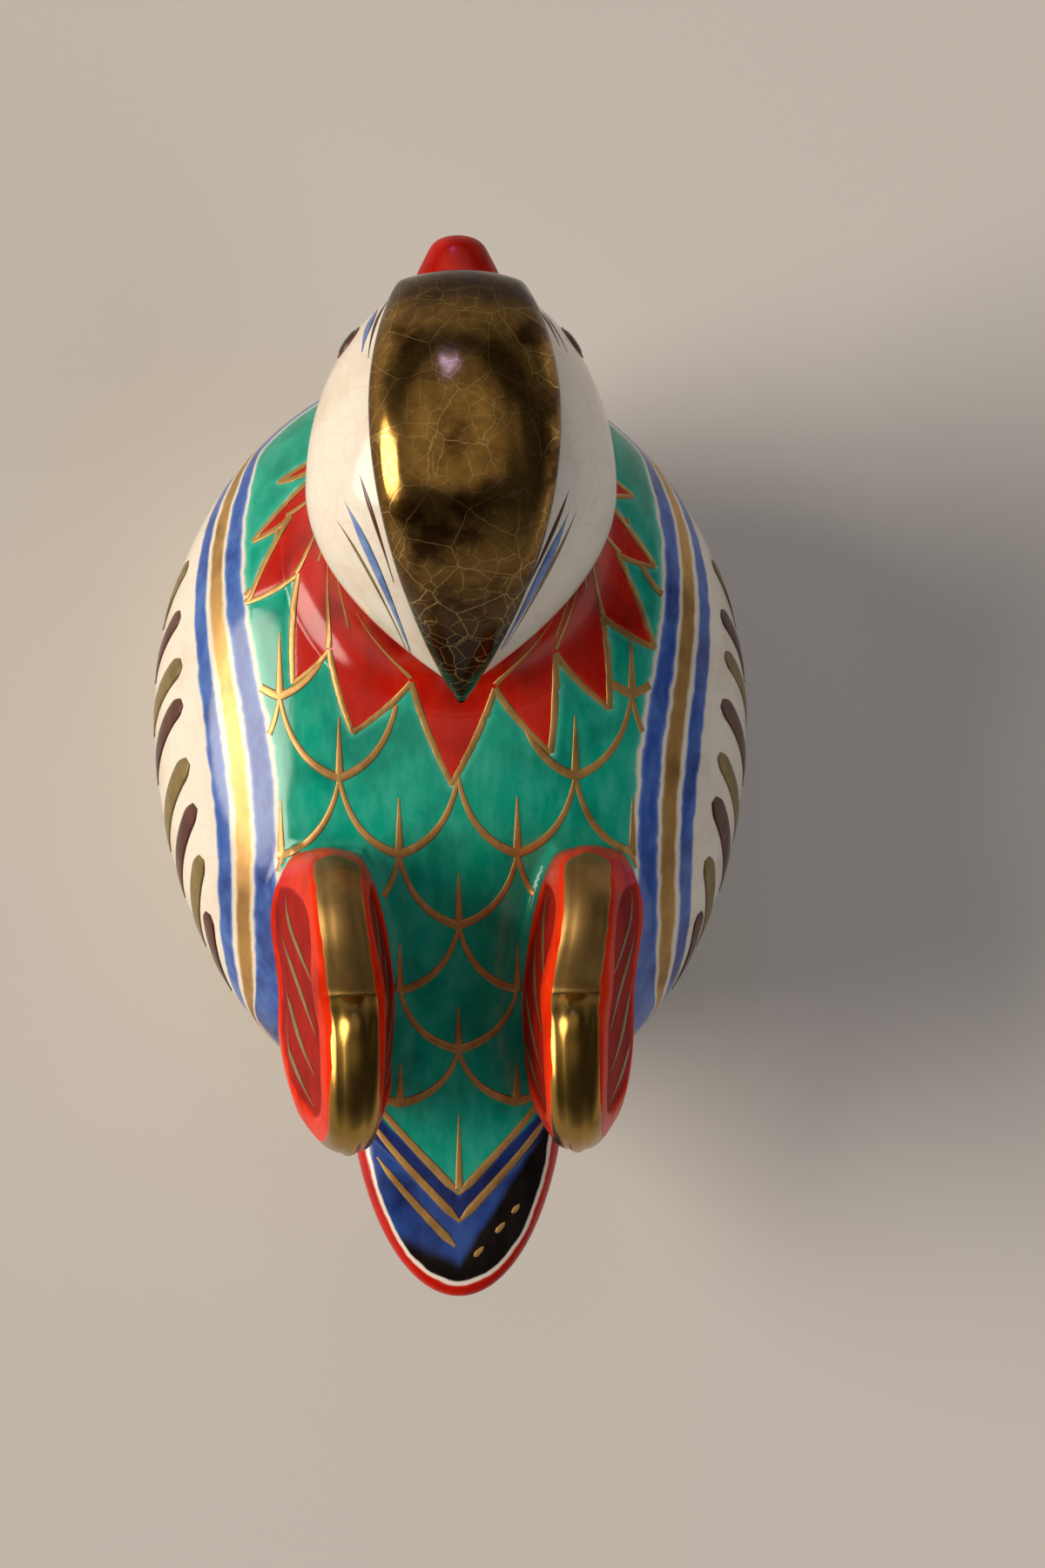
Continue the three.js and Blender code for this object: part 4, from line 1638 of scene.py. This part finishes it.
@dataclass
class Head:
    """The head with its crest, bill, eyes and brush strokes.

    tip_square and tip_flat are the powers that round the bill's tip in the plan and from the side, and
    eye_ring gives the steps of the ring round each eye, outwards and up.
    """

    centre: tuple[float, float, float] = (0.0, 15.99, 49.67)
    half_width: float = 11.7
    rise: float = 10.5
    drop: float = 9.5
    face: float = 16.0
    nape: float = 14.8
    droop: float = 4.0
    crest_proud: float = 1.5
    crest_half: float = 7.0
    crest_round: float = 1.5
    crest_lip: float = 1.2
    crest_tip: float = 16.0
    crest_widest: float = 5.0
    crest_hub: float = 3.0
    brow_half: float = 4.7
    brow_round: float = 0.6
    bill_half: float = 2.5
    bill_flare: float = 1.0
    bill_upper: float = 2.25
    bill_lower: float = 1.75
    bill_fall: float = 0.45
    gape: float = 0.24
    gape_half: float = 5.0
    tip_square: int = 11
    tip_flat: int = 7
    bill_reach: float = 3.88
    bill_root: float = 4.6
    bill_level: float = 3.0
    eye_radius: float = 1.15
    eye_advance: float = 11.0
    eye_level: float = 1.0
    eye_bulge: float = 0.3
    eye_sunk: float = 0.8
    eye_ring: tuple[tuple[float, float], ...] = ((0.05, 0.0), (0.12, 0.06), (0.22, 0.05), (0.32, -0.1))

    def station(self, y: Array, inset: float = 0.0) -> tuple[Array, Array, Array]:
        """Gives the section of the head at places along it.

        Args:
            y: Places along the body.
            inset: How far the head is drawn in.

        Returns:
            Size of the section from 0 to 1, its drop, and the place from -1 to 1.
        """
        ahead = np.asarray(y, float) - self.centre[1]
        place = np.clip(np.where(ahead > 0, ahead / (self.face - inset), ahead / (self.nape - inset)), -1, 1)
        size = np.where(place > 0, np.sqrt(1 - np.maximum(place, 0) ** 2), 1 - place**2)
        return size, np.where(place < 0, self.droop * place**2, 0.0), place

    def top(self, x: Array, y: Array, inset: Array) -> Array:
        """Gives the height of the head's upper side.

        Args:
            x: Places across the head.
            y: Places along the head.
            inset: How far the head is drawn in at each place, negative where it is swollen.

        Returns:
            Heights above the table.
        """
        size, drop, _ = self.station(y, inset)
        wide = np.maximum(size * (self.half_width - inset), 1e-6)
        share = np.sqrt(np.maximum(0, 1 - (x / wide) ** 2))
        return self.centre[2] - drop + size * share * (self.rise - inset)

    def shell(self) -> Piece:
        """Builds the head.

        Returns:
            The new object.
        """
        around = once_round(160)
        rows = []
        for angle in np.linspace(-math.pi / 2, math.pi / 2, 130):
            y = math.sin(angle)
            length = self.face if y > 0 else self.nape
            size, drop, _ = self.station(np.array(self.centre[1] + y * length))
            high = np.where(np.sin(around) > 0, self.rise, self.drop)
            x = float(size) * np.cos(around) * self.half_width
            z = self.centre[2] - float(drop) + float(size) * np.sin(around) * high
            points = np.column_stack([x, np.full_like(around, self.centre[1] + y * length), z])
            rows.append(points[:1] if abs(y) > 0.99999 else points)
        return closed_mesh("glazed_head", rows, {})

    def crest_outline(self) -> Array:
        """Draws the crest from above.

        Returns:
            An evenly spaced outline in the plan.
        """
        middle = self.centre[1]
        tip, widest, face = middle - self.crest_tip, middle + self.crest_widest, middle + self.face
        half, corner = self.crest_half, (self.brow_half, face - self.brow_round)
        leaf = bezier([(0, tip), (3.2, tip + 4.0), (half, widest - 9.5), (half, widest)], 60)
        cheek = bezier([(half, widest), (half, (widest + corner[1]) / 2), corner], 30)
        brow = bezier([corner, (2.3, face), (0, face)], 20)
        right = np.vstack([leaf[:-1], cheek[:-1], brow])
        left = right[-2:0:-1] * [-1, 1]
        return even_loop(np.vstack([right, left]), 300, 0.35)

    def crest(self) -> Piece:
        """Builds the raised crest with its rounded edge.

        Returns:
            The new object with the field edge.
        """
        outline = self.crest_outline()
        middle = np.array([0.0, self.centre[1] + self.crest_hub])
        rows: list[Array] = []

        def lay(plan: Array, inset: Array) -> None:
            """Adds one row, which ends above the bill in front.

            Args:
                plan: Places in the plan.
                inset: How far the head is drawn in at each place, negative where it is swollen.
            """
            high = self.top(plan[:, 0], plan[:, 1], inset)
            front = plan[:, 1] > self.centre[1] + self.face / 2
            lip = self.centre[2] + self.crest_lip + 0.012 * plan[:, 0] ** 2
            rows.append(np.column_stack([plan, np.where(front, np.maximum(high, lip), high)]))

        lay(middle[None], np.full(1, -self.crest_proud))
        for share in np.concatenate([np.linspace(0, 0.8, 34)[1:], np.linspace(0.8, 1, 30)[1:]]):
            plan = middle + (outline - middle) * share
            inside = np.maximum(-distance_to(plan, outline), 0)
            shape = np.sqrt(1 - (1 - np.minimum(inside / self.crest_round, 1)) ** 2)
            lay(plan, -self.crest_proud * (0.5 + 0.5 * shape))
        lay(outline, np.full(len(outline), -0.4))
        border = rows[-1]
        edge = [np.linalg.norm(row[:, None] - border[None], axis=2).min(axis=1) for row in rows]
        for share, inset in ((0.995, -0.1), (0.985, 0.25), (0.9, 0.9)):
            plan = middle + (outline - middle) * share
            lay(plan, np.full(len(plan), inset))
            edge.append(np.zeros(len(plan)))
        rows.append(np.array([[0, middle[1], self.centre[2] + 4.0]]))
        edge.append(np.zeros(1))
        return closed_mesh("gilt_crest", rows, {"edge": edge})

    def bill(self) -> Piece:
        """Builds the flat bill with its gape.

        Returns:
            The new object.
        """
        around = once_round(120)
        # Columns crowd at the gape.
        around = around - 0.375 * np.sin(2 * around)
        root = self.centre[1] + self.face - self.bill_root
        length = self.bill_root + self.bill_reach
        rows = []
        level = self.centre[2] - self.bill_level
        thick = np.where(np.sin(around) > 0, self.bill_upper, self.bill_lower)
        for share in np.sin(np.linspace(0, 1, 60) * math.pi / 2):
            gape = self.gape * np.exp(-((np.degrees(np.arcsin(np.sin(around))) / self.gape_half) ** 2))
            half = self.bill_half + self.bill_flare * ease(0.9, 0.5, share) - gape
            blunt = math.sqrt(max(0.0, 1 - share**self.tip_square))
            x = blunt * half * np.cos(around)
            flat = max(0.0, 1 - share**self.tip_flat) ** 0.4 * (1 - self.bill_fall * share)
            high = level + flat * thick * np.sin(around)
            row = np.column_stack([x, np.full_like(around, root + share * length), high])
            rows.append(row if blunt > 1e-6 else row[:1])
        rows.insert(0, np.array([[0, root - 0.01, level]]))
        return closed_mesh("enamelled_bill", rows, {})

    def eye(self, side: Side) -> Piece:
        """Builds one eye, a glossy pellet in a low ring.

        Args:
            side: Side of the head.

        Returns:
            The new object with the field ring.
        """
        y = self.centre[1] + self.eye_advance
        size, _, _ = self.station(np.array(y))
        sine = self.eye_level / self.rise / float(size)
        x = float(size) * self.half_width * math.sqrt(1 - sine**2)
        spot = np.array([side.value * x, y, self.centre[2] + self.eye_level])
        slope = [side.value * x / self.half_width**2, self.eye_advance / self.face**2]
        normal = np.array([*slope, self.eye_level / self.rise**2])
        normal /= np.linalg.norm(normal)
        across = np.cross(normal, [0, 0, 1.0])
        across /= np.linalg.norm(across)
        upward = np.cross(across, normal)
        around = once_round(48)
        reach = self.eye_radius
        angles = np.linspace(0, math.pi / 2, 14)
        steps = [(reach * math.sin(angle), 0.02 + self.eye_bulge * math.cos(angle)) for angle in angles]
        steps += [(reach + wider, out) for wider, out in self.eye_ring]
        steps.append((reach, -self.eye_sunk))
        rows, field = [], []
        turn = np.cos(around)[:, None] * across + np.sin(around)[:, None] * upward
        for radius, out in steps:
            row = spot + radius * turn + out * normal
            row = row if radius > 1e-6 else row[:1]
            rows.append(row)
            field.append(np.full(len(row), radius - reach))
        rows.append(spot[None] - self.eye_sunk * normal)
        field.append(np.zeros(1))
        return closed_mesh(f"eye_pellet_{side.name.lower()}", rows, {"ring": field})

    def strokes(self, ends: Sequence[tuple], half: float) -> Strokes:
        """Draws brush strokes on the cheeks.

        Args:
            ends: For each stroke its first, middle and last place across and ahead of the head's middle.
            half: Greatest half width of the strokes.

        Returns:
            Points and half widths along each stroke.
        """
        made = []
        for places in ends:
            plan = bezier([(across, self.centre[1] + ahead) for across, ahead in places], 40)
            high = self.top(plan[:, 0], plan[:, 1], np.zeros(len(plan)))
            share = np.linspace(0, 1, len(plan))
            width = half * ease(-0.02, 0.4, share) * (1 - ease(0.45, 1.02, share) * 0.85)
            made.append((np.column_stack([plan, high]), width))
        return made

    def dress(self) -> None:
        """Builds and dresses the head and what it carries."""
        cream = PaintedGlaze("crackled_cream_glaze", CREAM, crackle=0.09).make()
        head = settle(self.shell(), Body.LID, cream, ["head"])
        settle(self.crest(), Body.LID, BurnishedGilding().make(), ["crest"])
        red = PaintedGlaze("red_bill_enamel", RED).make()
        settle(self.bill(), Body.LID, red, ["bill"])
        ring = Coat("ring", BROWN, 0.06, soft=0.04, wobble=0.02)
        black = PaintedGlaze("black_eye_enamel", BLACK, (ring,)).make()
        for side in Side:
            word = side.name.lower()
            settle(self.eye(side), Body.LID, black, [f"eye_{word}"])
        for name, (paint, half, ends) in CHEEK_STROKES.items():
            finish = PaintedGlaze(f"{name}_cheek_paint", paint, streak_size=0.8).make()
            lines = self.strokes(ends, half)
            strokes = Brushwork(flatness=0.12).paint(f"cheek_strokes_{name}", lines, [head], finish)
            settle(strokes, Body.LID)


# Sails and tail


@dataclass
class Sail:
    """One upright sail feather: a thick leaf with a notched gilt edge and sunk red panels.

    gilt_front and gilt_rear are where the gilt strip ends in the side view, and strip_swell is how much wider
    it gets between the stations strip_from and strip_to.
    """

    side: Side
    front: float = SAIL_PLAN.front
    foot: float = 35.3
    height: float = 13.5
    foot_half: float = SAIL_PLAN.foot_half
    edge_half: float = 1.95
    least_half: float = 1.3
    sunk: float = 1.2
    lean: float = 0.09
    bevel: float = 0.9
    recess: float = 0.35
    rim_width: float = 2.8
    foot_rim: float = 1.2
    notch: float = 10.9
    crown: float = 0.26
    strip_half: float = 1.78
    strip_swell: float = 0.25
    strip_from: float = -26.0
    strip_to: float = -32.0
    gilt_front: tuple[float, float] = (-11.7, 42.4)
    gilt_rear: tuple[float, float] = (-33.8, 36.9)
    quill_half: float = 0.42
    points: int = 260

    def middle_at(self, plan: Array) -> Array:
        """Gives the distance of the sail's middle from the body's at places in the side view."""
        return SAIL_PLAN.spread(plan[:, 0]) - self.lean * (plan[:, 1] - self.foot)

    def half_at(self, plan: Array) -> Array:
        """Gives half the sail's thickness.

        Args:
            plan: Places in the side view.

        Returns:
            Half thicknesses in millimetres.
        """
        climb = np.clip((plan[:, 1] - self.foot) / self.height, 0, 1)
        full = self.foot_half + (self.edge_half - self.foot_half) * climb
        return np.maximum(full * SAIL_PLAN.fullness(plan[:, 0]), self.least_half)

    def inside(self, plan: Array, out: Array, outline: Array) -> Array:
        """Measures how far places on a face lie inside the rim that frames its panel.

        Args:
            plan: Places in the side view.
            out: Distance of the face from the sail's middle.
            outline: The sail's outline in the side view.

        Returns:
            Distances in millimetres, negative on the rim.
        """
        above = plan[:, 1] - EGG.height(self.middle_at(plan) + out, plan[:, 0])
        return np.minimum(-distance_to(plan, outline) - self.rim_width, above - self.foot_rim)

    def outline(self) -> Array:
        """Draws the sail from the side, as places along the body and up.

        Returns:
            An evenly spaced closed outline that starts at the front's foot.
        """
        front, foot, top = self.front, self.foot, self.foot + self.height
        curves = [
            [(front, foot - 5), (front, foot - 2), (front, foot)],
            [(front, foot), (front, top), (front - 6, top)],
            [(front - 6, top), (front - 8.4, top), (front - self.notch, top - 2.3)],
            [(front - self.notch, top - 2.3), (front - 11.7, top - 0.5), (front - 14.8, top - 0.5)],
            [(front - 14.8, top - 0.5), (front - 23.5, top - 0.5), (front - 23.5, foot + 5)],
            [(front - 23.5, foot + 5), (front - 23.5, foot), (front - 15, foot - 8.5)],
            [(front - 15, foot - 8.5), (front - 7, foot - 6.5), (front, foot - 5)],
        ]
        return even_loop(np.vstack([bezier(c, 30)[:-1] for c in curves]), self.points, 0.65)

    def shell(self) -> Piece:
        """Builds the sail.

        Returns:
            The new object with the fields gilt, burnish and panel.
        """
        outline = self.outline()
        tangent = np.roll(outline, -1, axis=0) - np.roll(outline, 1, axis=0)
        tangent /= np.linalg.norm(tangent, axis=1)[:, None]
        inward = np.stack([-tangent[:, 1], tangent[:, 0]], axis=1)
        middle = np.array([self.front - 11.0, self.foot + 3.5])
        if ((middle - outline) * inward).sum() < 0:
            inward = -inward
        run = np.arange(self.points) * np.linalg.norm(np.diff(outline[:2], axis=0))
        stops = (self.gilt_front, self.gilt_rear)
        begin, finish = sorted(run[np.argmin(np.linalg.norm(outline - stop, axis=1))] for stop in stops)
        rows: list[Array] = []
        fields: Fields = {"gilt": [], "burnish": [], "panel": []}

        def lay(plan: Array, out: Array, across: Array) -> None:
            """Adds one row with its fields.

            Args:
                plan: Places in the side view.
                out: Distance of each place from the sail's middle.
                across: Distance of each place from the middle of the edge.
            """
            x = self.side.value * (self.middle_at(plan) + out)
            z = np.maximum(plan[:, 1], EGG.height(x, plan[:, 0]) - self.sunk)
            rows.append(np.column_stack([x, plan[:, 0], z]))
            half = self.strip_half + self.strip_swell * ease(self.strip_from, self.strip_to, plan[:, 0])
            beyond = np.maximum(np.maximum(begin + half - run, run - finish + half), 0)
            gilt = half - np.hypot(beyond, across)
            fields["gilt"].append(gilt)
            fields["burnish"].append(np.minimum(gilt, self.front - self.notch - plan[:, 0]))
            fields["panel"].append(self.inside(plan, out, outline))

        half = self.half_at(outline)
        shares = (1 - np.linspace(0, 1, 30)[1:-1] ** 1.4)[::-1]
        bevels = np.linspace(0, math.pi / 2, 7)
        inner = outline + inward * self.bevel
        hump = self.front - self.notch - 2.0
        hub = middle[None]
        hub_out = float(self.half_at(hub)[0]) - self.recess
        for sign in (1, -1):
            faces = []
            for share in shares:
                plan = middle + (inner - middle) * share
                depth = -distance_to(plan, outline)
                thick = self.half_at(plan)
                sunk = self.recess * ease(-0.35, 0.35, self.inside(plan, sign * thick, outline))
                faces.append((plan, sign * (thick - sunk), thick + depth))
            turned = []
            for angle in bevels[::-1]:
                plan = outline + inward * self.bevel * (1 - math.cos(angle))
                thick = self.half_at(plan) - self.bevel * (1 - math.sin(angle))
                turned.append((plan, sign * thick, half - self.bevel + self.bevel * angle))
            steps = [*faces, *turned]
            pole = np.array([[self.side.value * (self.middle_at(hub)[0] + sign * hub_out), *middle]])
            if sign == 1:
                rows.append(pole)
            for plan, out, across in steps if sign == 1 else steps[::-1]:
                lay(plan, out, np.abs(across))
            if sign == 1:
                for share in np.linspace(1, -1, 9)[1:-1]:
                    swell = self.crown + self.crown * np.exp(-(((outline[:, 0] - hump) / 1.2) ** 2))
                    plan = outline - inward * (swell * (1 - share**2))[:, None]
                    lay(plan, share * (half - self.bevel), np.abs(share) * (half - self.bevel))
        rows.append(pole)
        for name, values in fields.items():
            end = np.full(1, FAR if name == "panel" else -FAR)
            fields[name] = [end, *values, end]
        return closed_mesh(f"enamelled_sail_{self.side.name.lower()}", rows, fields)

    def quills(self) -> Strokes:
        """Draws the quill strokes of both faces.

        Returns:
            Points and half widths along each stroke.
        """
        ends = (
            ((-14.2, 37.4), (-18.6, 40.0), (-21.6, 44.0)),
            ((-17.6, 36.2), (-22.0, 38.6), (-25.2, 43.6)),
            ((-21.6, 34.6), (-25.6, 37.8), (-28.4, 42.6)),
            ((-25.4, 34.0), (-28.6, 36.6), (-31.0, 40.6)),
        )
        made = []
        for out in (1, -1):
            for places in ends:
                plan = bezier(places, 30)
                x = self.middle_at(plan) + out * self.half_at(plan)
                share = np.linspace(0, 1, len(plan))
                width = self.quill_half * ease(-0.05, 0.35, share) * (1 - 0.8 * ease(0.5, 1.0, share))
                made.append((np.column_stack([self.side.value * x, plan]), width))
        return made

    def dress(self, glaze: Finish, quill: Finish) -> None:
        """Builds and dresses the sail.

        Args:
            glaze: Red enamel with its gilt edge.
            quill: Paint of the quill strokes.
        """
        word = self.side.name.lower()
        sail = settle(self.shell(), Body.LID, glaze, [f"sail_{word}"])
        strokes = Brushwork(flatness=0.14).paint(f"sail_quills_{word}", self.quills(), [sail], quill)
        settle(strokes, Body.LID)


@dataclass
class Tail:
    """The tail, a blunt leaf on the rump with chevrons in blue and gold."""

    seat: float = -28.0
    reach: float = 19.3
    root: float = 9.0
    half_width: float = 9.0
    level: float = 27.7
    upsweep: float = 2.0
    thick: float = 8.8
    tip_thick: float = 4.4
    blunt: float = 4.0
    blend: float = 2.4
    chevrons: tuple[float, float, float] = (39.0, 41.2, 43.6)
    spot_fall: float = 1.8
    line_half: float = 0.34
    quill_length: float = 6.0
    # The slant of the painted shade at the tail's far end, which reaches further in on the duck's right
    shade_slant: float = 0.55
    skin: float = 0.03
    sunk: float = 1.2

    def shell(self) -> Piece:
        """Builds the tail, whose root runs out in a thin skin on the back.

        Returns:
            The new object with the fields chevron, rim and room, and a field for the painted shade at the far
            end.
        """
        around = once_round(240)
        rows = []
        fields: Fields = {"chevron": [], "soot": [], "rim": [], "room": []}
        top, edge, under = np.linspace(0, 0.4, 40), np.linspace(0.4, 0.6, 40), np.linspace(0.6, 1, 24)
        polar = np.concatenate([top[:-1], edge, under[1:]])
        for angle in polar * math.pi:
            disc, high = math.sin(angle), math.cos(angle)
            px, py = disc * np.cos(around), disc * np.sin(around)
            behind = np.maximum(0, -py)
            thick = self.thick + (self.tip_thick - self.thick) * behind
            x = px * self.half_width
            y = self.seat + py * np.where(py > 0, self.root, self.reach)
            lift = math.copysign(abs(high) ** (2 / self.blunt), high)
            z = self.level + self.upsweep * behind**2 + lift * thick / 2
            dome = EGG.height(x, y)
            if high > 0:
                apart = np.clip(self.blend - np.abs(z - dome), 0, self.blend)
                z = np.maximum(z, dome) + apart**2 / (4 * self.blend) - self.skin
            else:
                z = np.maximum(z, dome - self.sunk)
            points = np.column_stack([x, y, z])
            radius = np.hypot(px * self.half_width, py * self.reach) / max(disc, 1e-6)
            inside = (1 - disc) * np.where(py > 0, FAR, radius)
            inside = inside if high > 0 else -np.abs(inside) - 0.01
            veer = np.abs(x) - y
            ahead = (self.chevrons[0] - 0.5 - veer) / math.sqrt(2)
            spare = np.minimum(ahead, SAIL_PLAN.distance(x, y) - 0.2)
            keep = 1 if disc < 1e-6 else len(points)
            rows.append(points[:keep])
            # The painted shade beyond the third chevron is slanted to reach further in on the duck's right
            values = {"chevron": veer, "soot": veer + self.shade_slant * x, "rim": inside, "room": spare}
            for name, value in values.items():
                fields[name].append(value[:keep])
        return closed_mesh("enamelled_tail", rows, fields)

    def gold_lines(self) -> Strokes:
        """Draws the chevrons and the middle quill.

        Returns:
            Points and half widths along each line.
        """
        first, second, third = self.chevrons
        arms = [
            (first, -1, 0.0, 8.6), (first, 1, 0.0, 8.6),
            (second, -1, 0.0, 8.5), (second, 1, 0.0, 8.5),
            (third, -1, 0.4, 7.5),
            (third + self.spot_fall, 1, 1.3, 2.1), (third + self.spot_fall, 1, 3.2, 4.0),
            (third + self.spot_fall, 1, 4.7, 5.4),
        ]
        lines = []
        for tip, sign, near, far in arms:
            run = np.linspace(near, far, 40)
            z = np.full_like(run, self.level + self.thick / 2 + 1)
            share = np.linspace(0, 1, len(run))
            width = self.line_half * (1.1 - 0.4 * share) * (0.35 + 0.65 * ease(0.0, 0.12, share))
            width *= 1 - 0.7 * ease(0.8, 1.0, share)
            lines.append((np.column_stack([sign * run, run - tip, z]), width * (0.7 if tip > third else 1.0)))
        run = np.linspace(0, 1, 30)
        y = -first + 0.4 + run * self.quill_length
        quill = np.column_stack([0 * run, y, np.full_like(run, self.level + 6)])
        lines.append((quill, self.line_half * (1 - 0.85 * run)))
        return lines

    def dress(self, gold: Finish) -> Piece:
        """Builds and dresses the tail.

        Args:
            gold: Gold line paint.

        Returns:
            The tail.
        """
        first, second, third = self.chevrons
        coats = (
            Coat("chevron", NAVY, first, body=0.6),
            Coat("chevron", TAIL_BLUE, second, third, body=0.6),
            # Painted shade: black over the far end of the tail, beyond the third chevron
            Coat("soot", BLACK, third + 0.9, soft=0.7, body=0.9),
            Coat("rim", CREAM, -FAR, 1.3, soft=0.1, body=0.2),
            Coat("rim", RED, -FAR, 0.95, soft=0.1, body=0.3),
        )
        glaze = PaintedGlaze("enamelled_tail_glaze", GREEN, coats).make()
        tail = settle(self.shell(), Body.LID, glaze, ["tail"])
        lines = Brushwork(flatness=0.14).paint("tail_lines", self.gold_lines(), [tail], gold)
        settle(lines, Body.LID)
        return tail


# The studio


# Colours of the room that lights the box and that its gloss mirrors
ROOM = {
    "right wall": "#a09f9f",
    "left wall": "#ebe7de",
    "ceiling": "#484646",
    "panel": "#d8cebf",
    "horizon": "#eddfd6",
}


@dataclass(frozen=True)
class Lamp:
    """A wide, far-off lamp, which lights box and floor evenly.

    at is the place that the light comes from, strength the light on a surface that faces it in watts per
    square metre, width the angle in degrees that the lamp fills, and mirrored whether gloss shows it.
    """

    name: str
    at: tuple[float, float, float]
    strength: float
    width: float
    tint: str
    mirrored: bool = True

    def hang(self) -> None:
        """Adds the lamp to the scene."""
        light = bpy.data.lights.new(self.name, "SUN")
        light.energy = self.strength
        light.angle = math.radians(self.width)
        light.color = linear(self.tint)[:3]
        made = placed(self.name, light)
        made.location = Vector(self.at) * MM
        made.rotation_euler = (-made.location).to_track_quat("-Z", "Y").to_euler()
        made.visible_glossy = self.mirrored


@dataclass(frozen=True)
class Studio:
    """A pale floor, soft light from the duck's left and the camera over its back."""

    camera_at: tuple[float, float, float] = (-8.2, -11.2, 278.5)
    camera_ahead: tuple[float, float, float] = (0.055, 0.022, -0.998)
    camera_up: tuple[float, float, float] = (0.008, 1.0, 0.023)
    lens: float = 70.0
    sensor: float = 36.0
    clip: tuple[float, float] = (0.01, 40.0)
    floor_half: float = 12000.0
    floor_tint: str = "#d9d5ce"
    room_light: float = 0.6
    lamps: tuple[Lamp, ...] = (
        Lamp("key", (-340, 10, 190), 3.1, 40.0, "#fff3e4"),
        Lamp("fill", (240, -120, 310), 0.5, 40.0, "#eef1ff", mirrored=False),
        Lamp("window", (-50, 300, 270), 0.06, 5.0, "#6f78ff"),
    )

    def floor(self) -> None:
        """Lays the floor."""
        half = self.floor_half * MM
        mesh = bpy.data.meshes.new("floor")
        corners = [(-half, -half, 0), (half, -half, 0), (half, half, 0), (-half, half, 0)]
        mesh.from_pydata(corners, [], [(0, 1, 2, 3)])
        made = placed("floor", mesh)
        pale = bpy.data.materials.new("pale_floor")
        pale.use_nodes = True
        shader = pale.node_tree.nodes["Principled BSDF"]
        shader.inputs["Base Color"].default_value = linear(self.floor_tint)
        shader.inputs["Roughness"].default_value = 0.9
        mesh.materials.append(pale)

    def world(self) -> None:
        """Gives the room pale walls, brighter on the duck's left, and a dim ceiling with a bright panel."""
        world = bpy.data.worlds.new("studio")
        bpy.context.scene.world = world
        world.use_nodes = True
        tree = world.node_tree
        tree.nodes.clear()
        where = add(tree, "ShaderNodeTexCoord", out="Generated")
        up = (0.0, 0.0, 1.0)
        layers = (
            ("walls", (-0.98, 0.2, 0.0), -0.7, 0.7, "right wall", "left wall"),
            ("roof", (-0.1, 0.32, 0.94), 0.8, 0.95, "ceiling", "panel"),
            ("room", up, 0.05, 0.52, "walls", "roof"),
            ("all", up, 0.0, 0.07, "horizon", "room"),
        )
        shades: dict[str, object] = {name: linear(code) for name, code in ROOM.items()}
        for name, towards, low, high, first, last in layers:
            feeds = {0: where, 1: towards}
            facing = add(tree, "ShaderNodeVectorMath", feeds, operation="DOT_PRODUCT", out="Value")
            share = add(tree, "ShaderNodeMapRange", {"Value": facing, "From Min": low, "From Max": high})
            feeds = {"Factor": share, 6: shades[first], 7: shades[last]}
            shades[name] = add(tree, "ShaderNodeMix", feeds, data_type="RGBA", out=2)
        sky = add(tree, "ShaderNodeBackground", {"Color": shades["all"], "Strength": self.room_light})
        add(tree, "ShaderNodeOutputWorld", {"Surface": sky})

    def camera(self) -> None:
        """Sets the camera at the photograph's place."""
        data = bpy.data.cameras.new("camera")
        data.sensor_width = self.sensor
        data.lens = self.lens
        data.clip_start, data.clip_end = self.clip
        made = placed("camera", data)
        back = -Vector(self.camera_ahead).normalized()
        right = Vector(self.camera_up).cross(back).normalized()
        turn = Matrix((right, back.cross(right), back)).transposed().to_4x4()
        made.matrix_world = Matrix.Translation(Vector(self.camera_at) * MM) @ turn
        bpy.context.scene.camera = made

    def build(self) -> None:
        """Sets up floor, light and camera."""
        bpy.context.scene.view_settings.view_transform = "Standard"
        self.floor()
        self.world()
        for lamp in self.lamps:
            lamp.hang()
        self.camera()


def main() -> None:
    """Builds the box, the lid and what the lid carries, in that order."""
    logging.basicConfig(level=logging.INFO, format="%(name)s: %(message)s")
    Studio().build()
    body_glaze = PaintedGlaze("enamelled_body_glaze", CREAM, BODY_COATS, crackle=0.07).make()
    gold = PaintedGlaze("gold_line_paint", LINE_GOLD, streak_size=0.7).make()
    BoxHalf().dress(body_glaze)
    dome = LidDome().dress(body_glaze)
    tail = Tail().dress(gold)
    Neck().dress(body_glaze, dome, gold)
    Head().dress()
    coats = (
        Coat("panel", MAROON_RED, 0.0, soft=0.12, body=0.4),
        Coat("gilt", SATIN_GOLD, 0.0, soft=0.06, body=0.2, wobble=0.1),
        Coat("burnish", BRIGHT_GOLD, 0.0, soft=0.06, body=0.2, wobble=0.1),
    )
    sail_glaze = PaintedGlaze("red_sail_enamel", SAIL_RED, coats, shine=0.02).make()
    quill = PaintedGlaze("quill_paint", OLIVE, streak_size=0.8).make()
    for side in Side:
        Sail(side).dress(sail_glaze, quill)
    scales = ScalePattern().paint("scale_lines", [dome, tail], gold, Brushwork(flatness=0.12))
    settle(scales, Body.LID)
    bpy.context.view_layer.update()


if __name__ == "__main__":
    main()
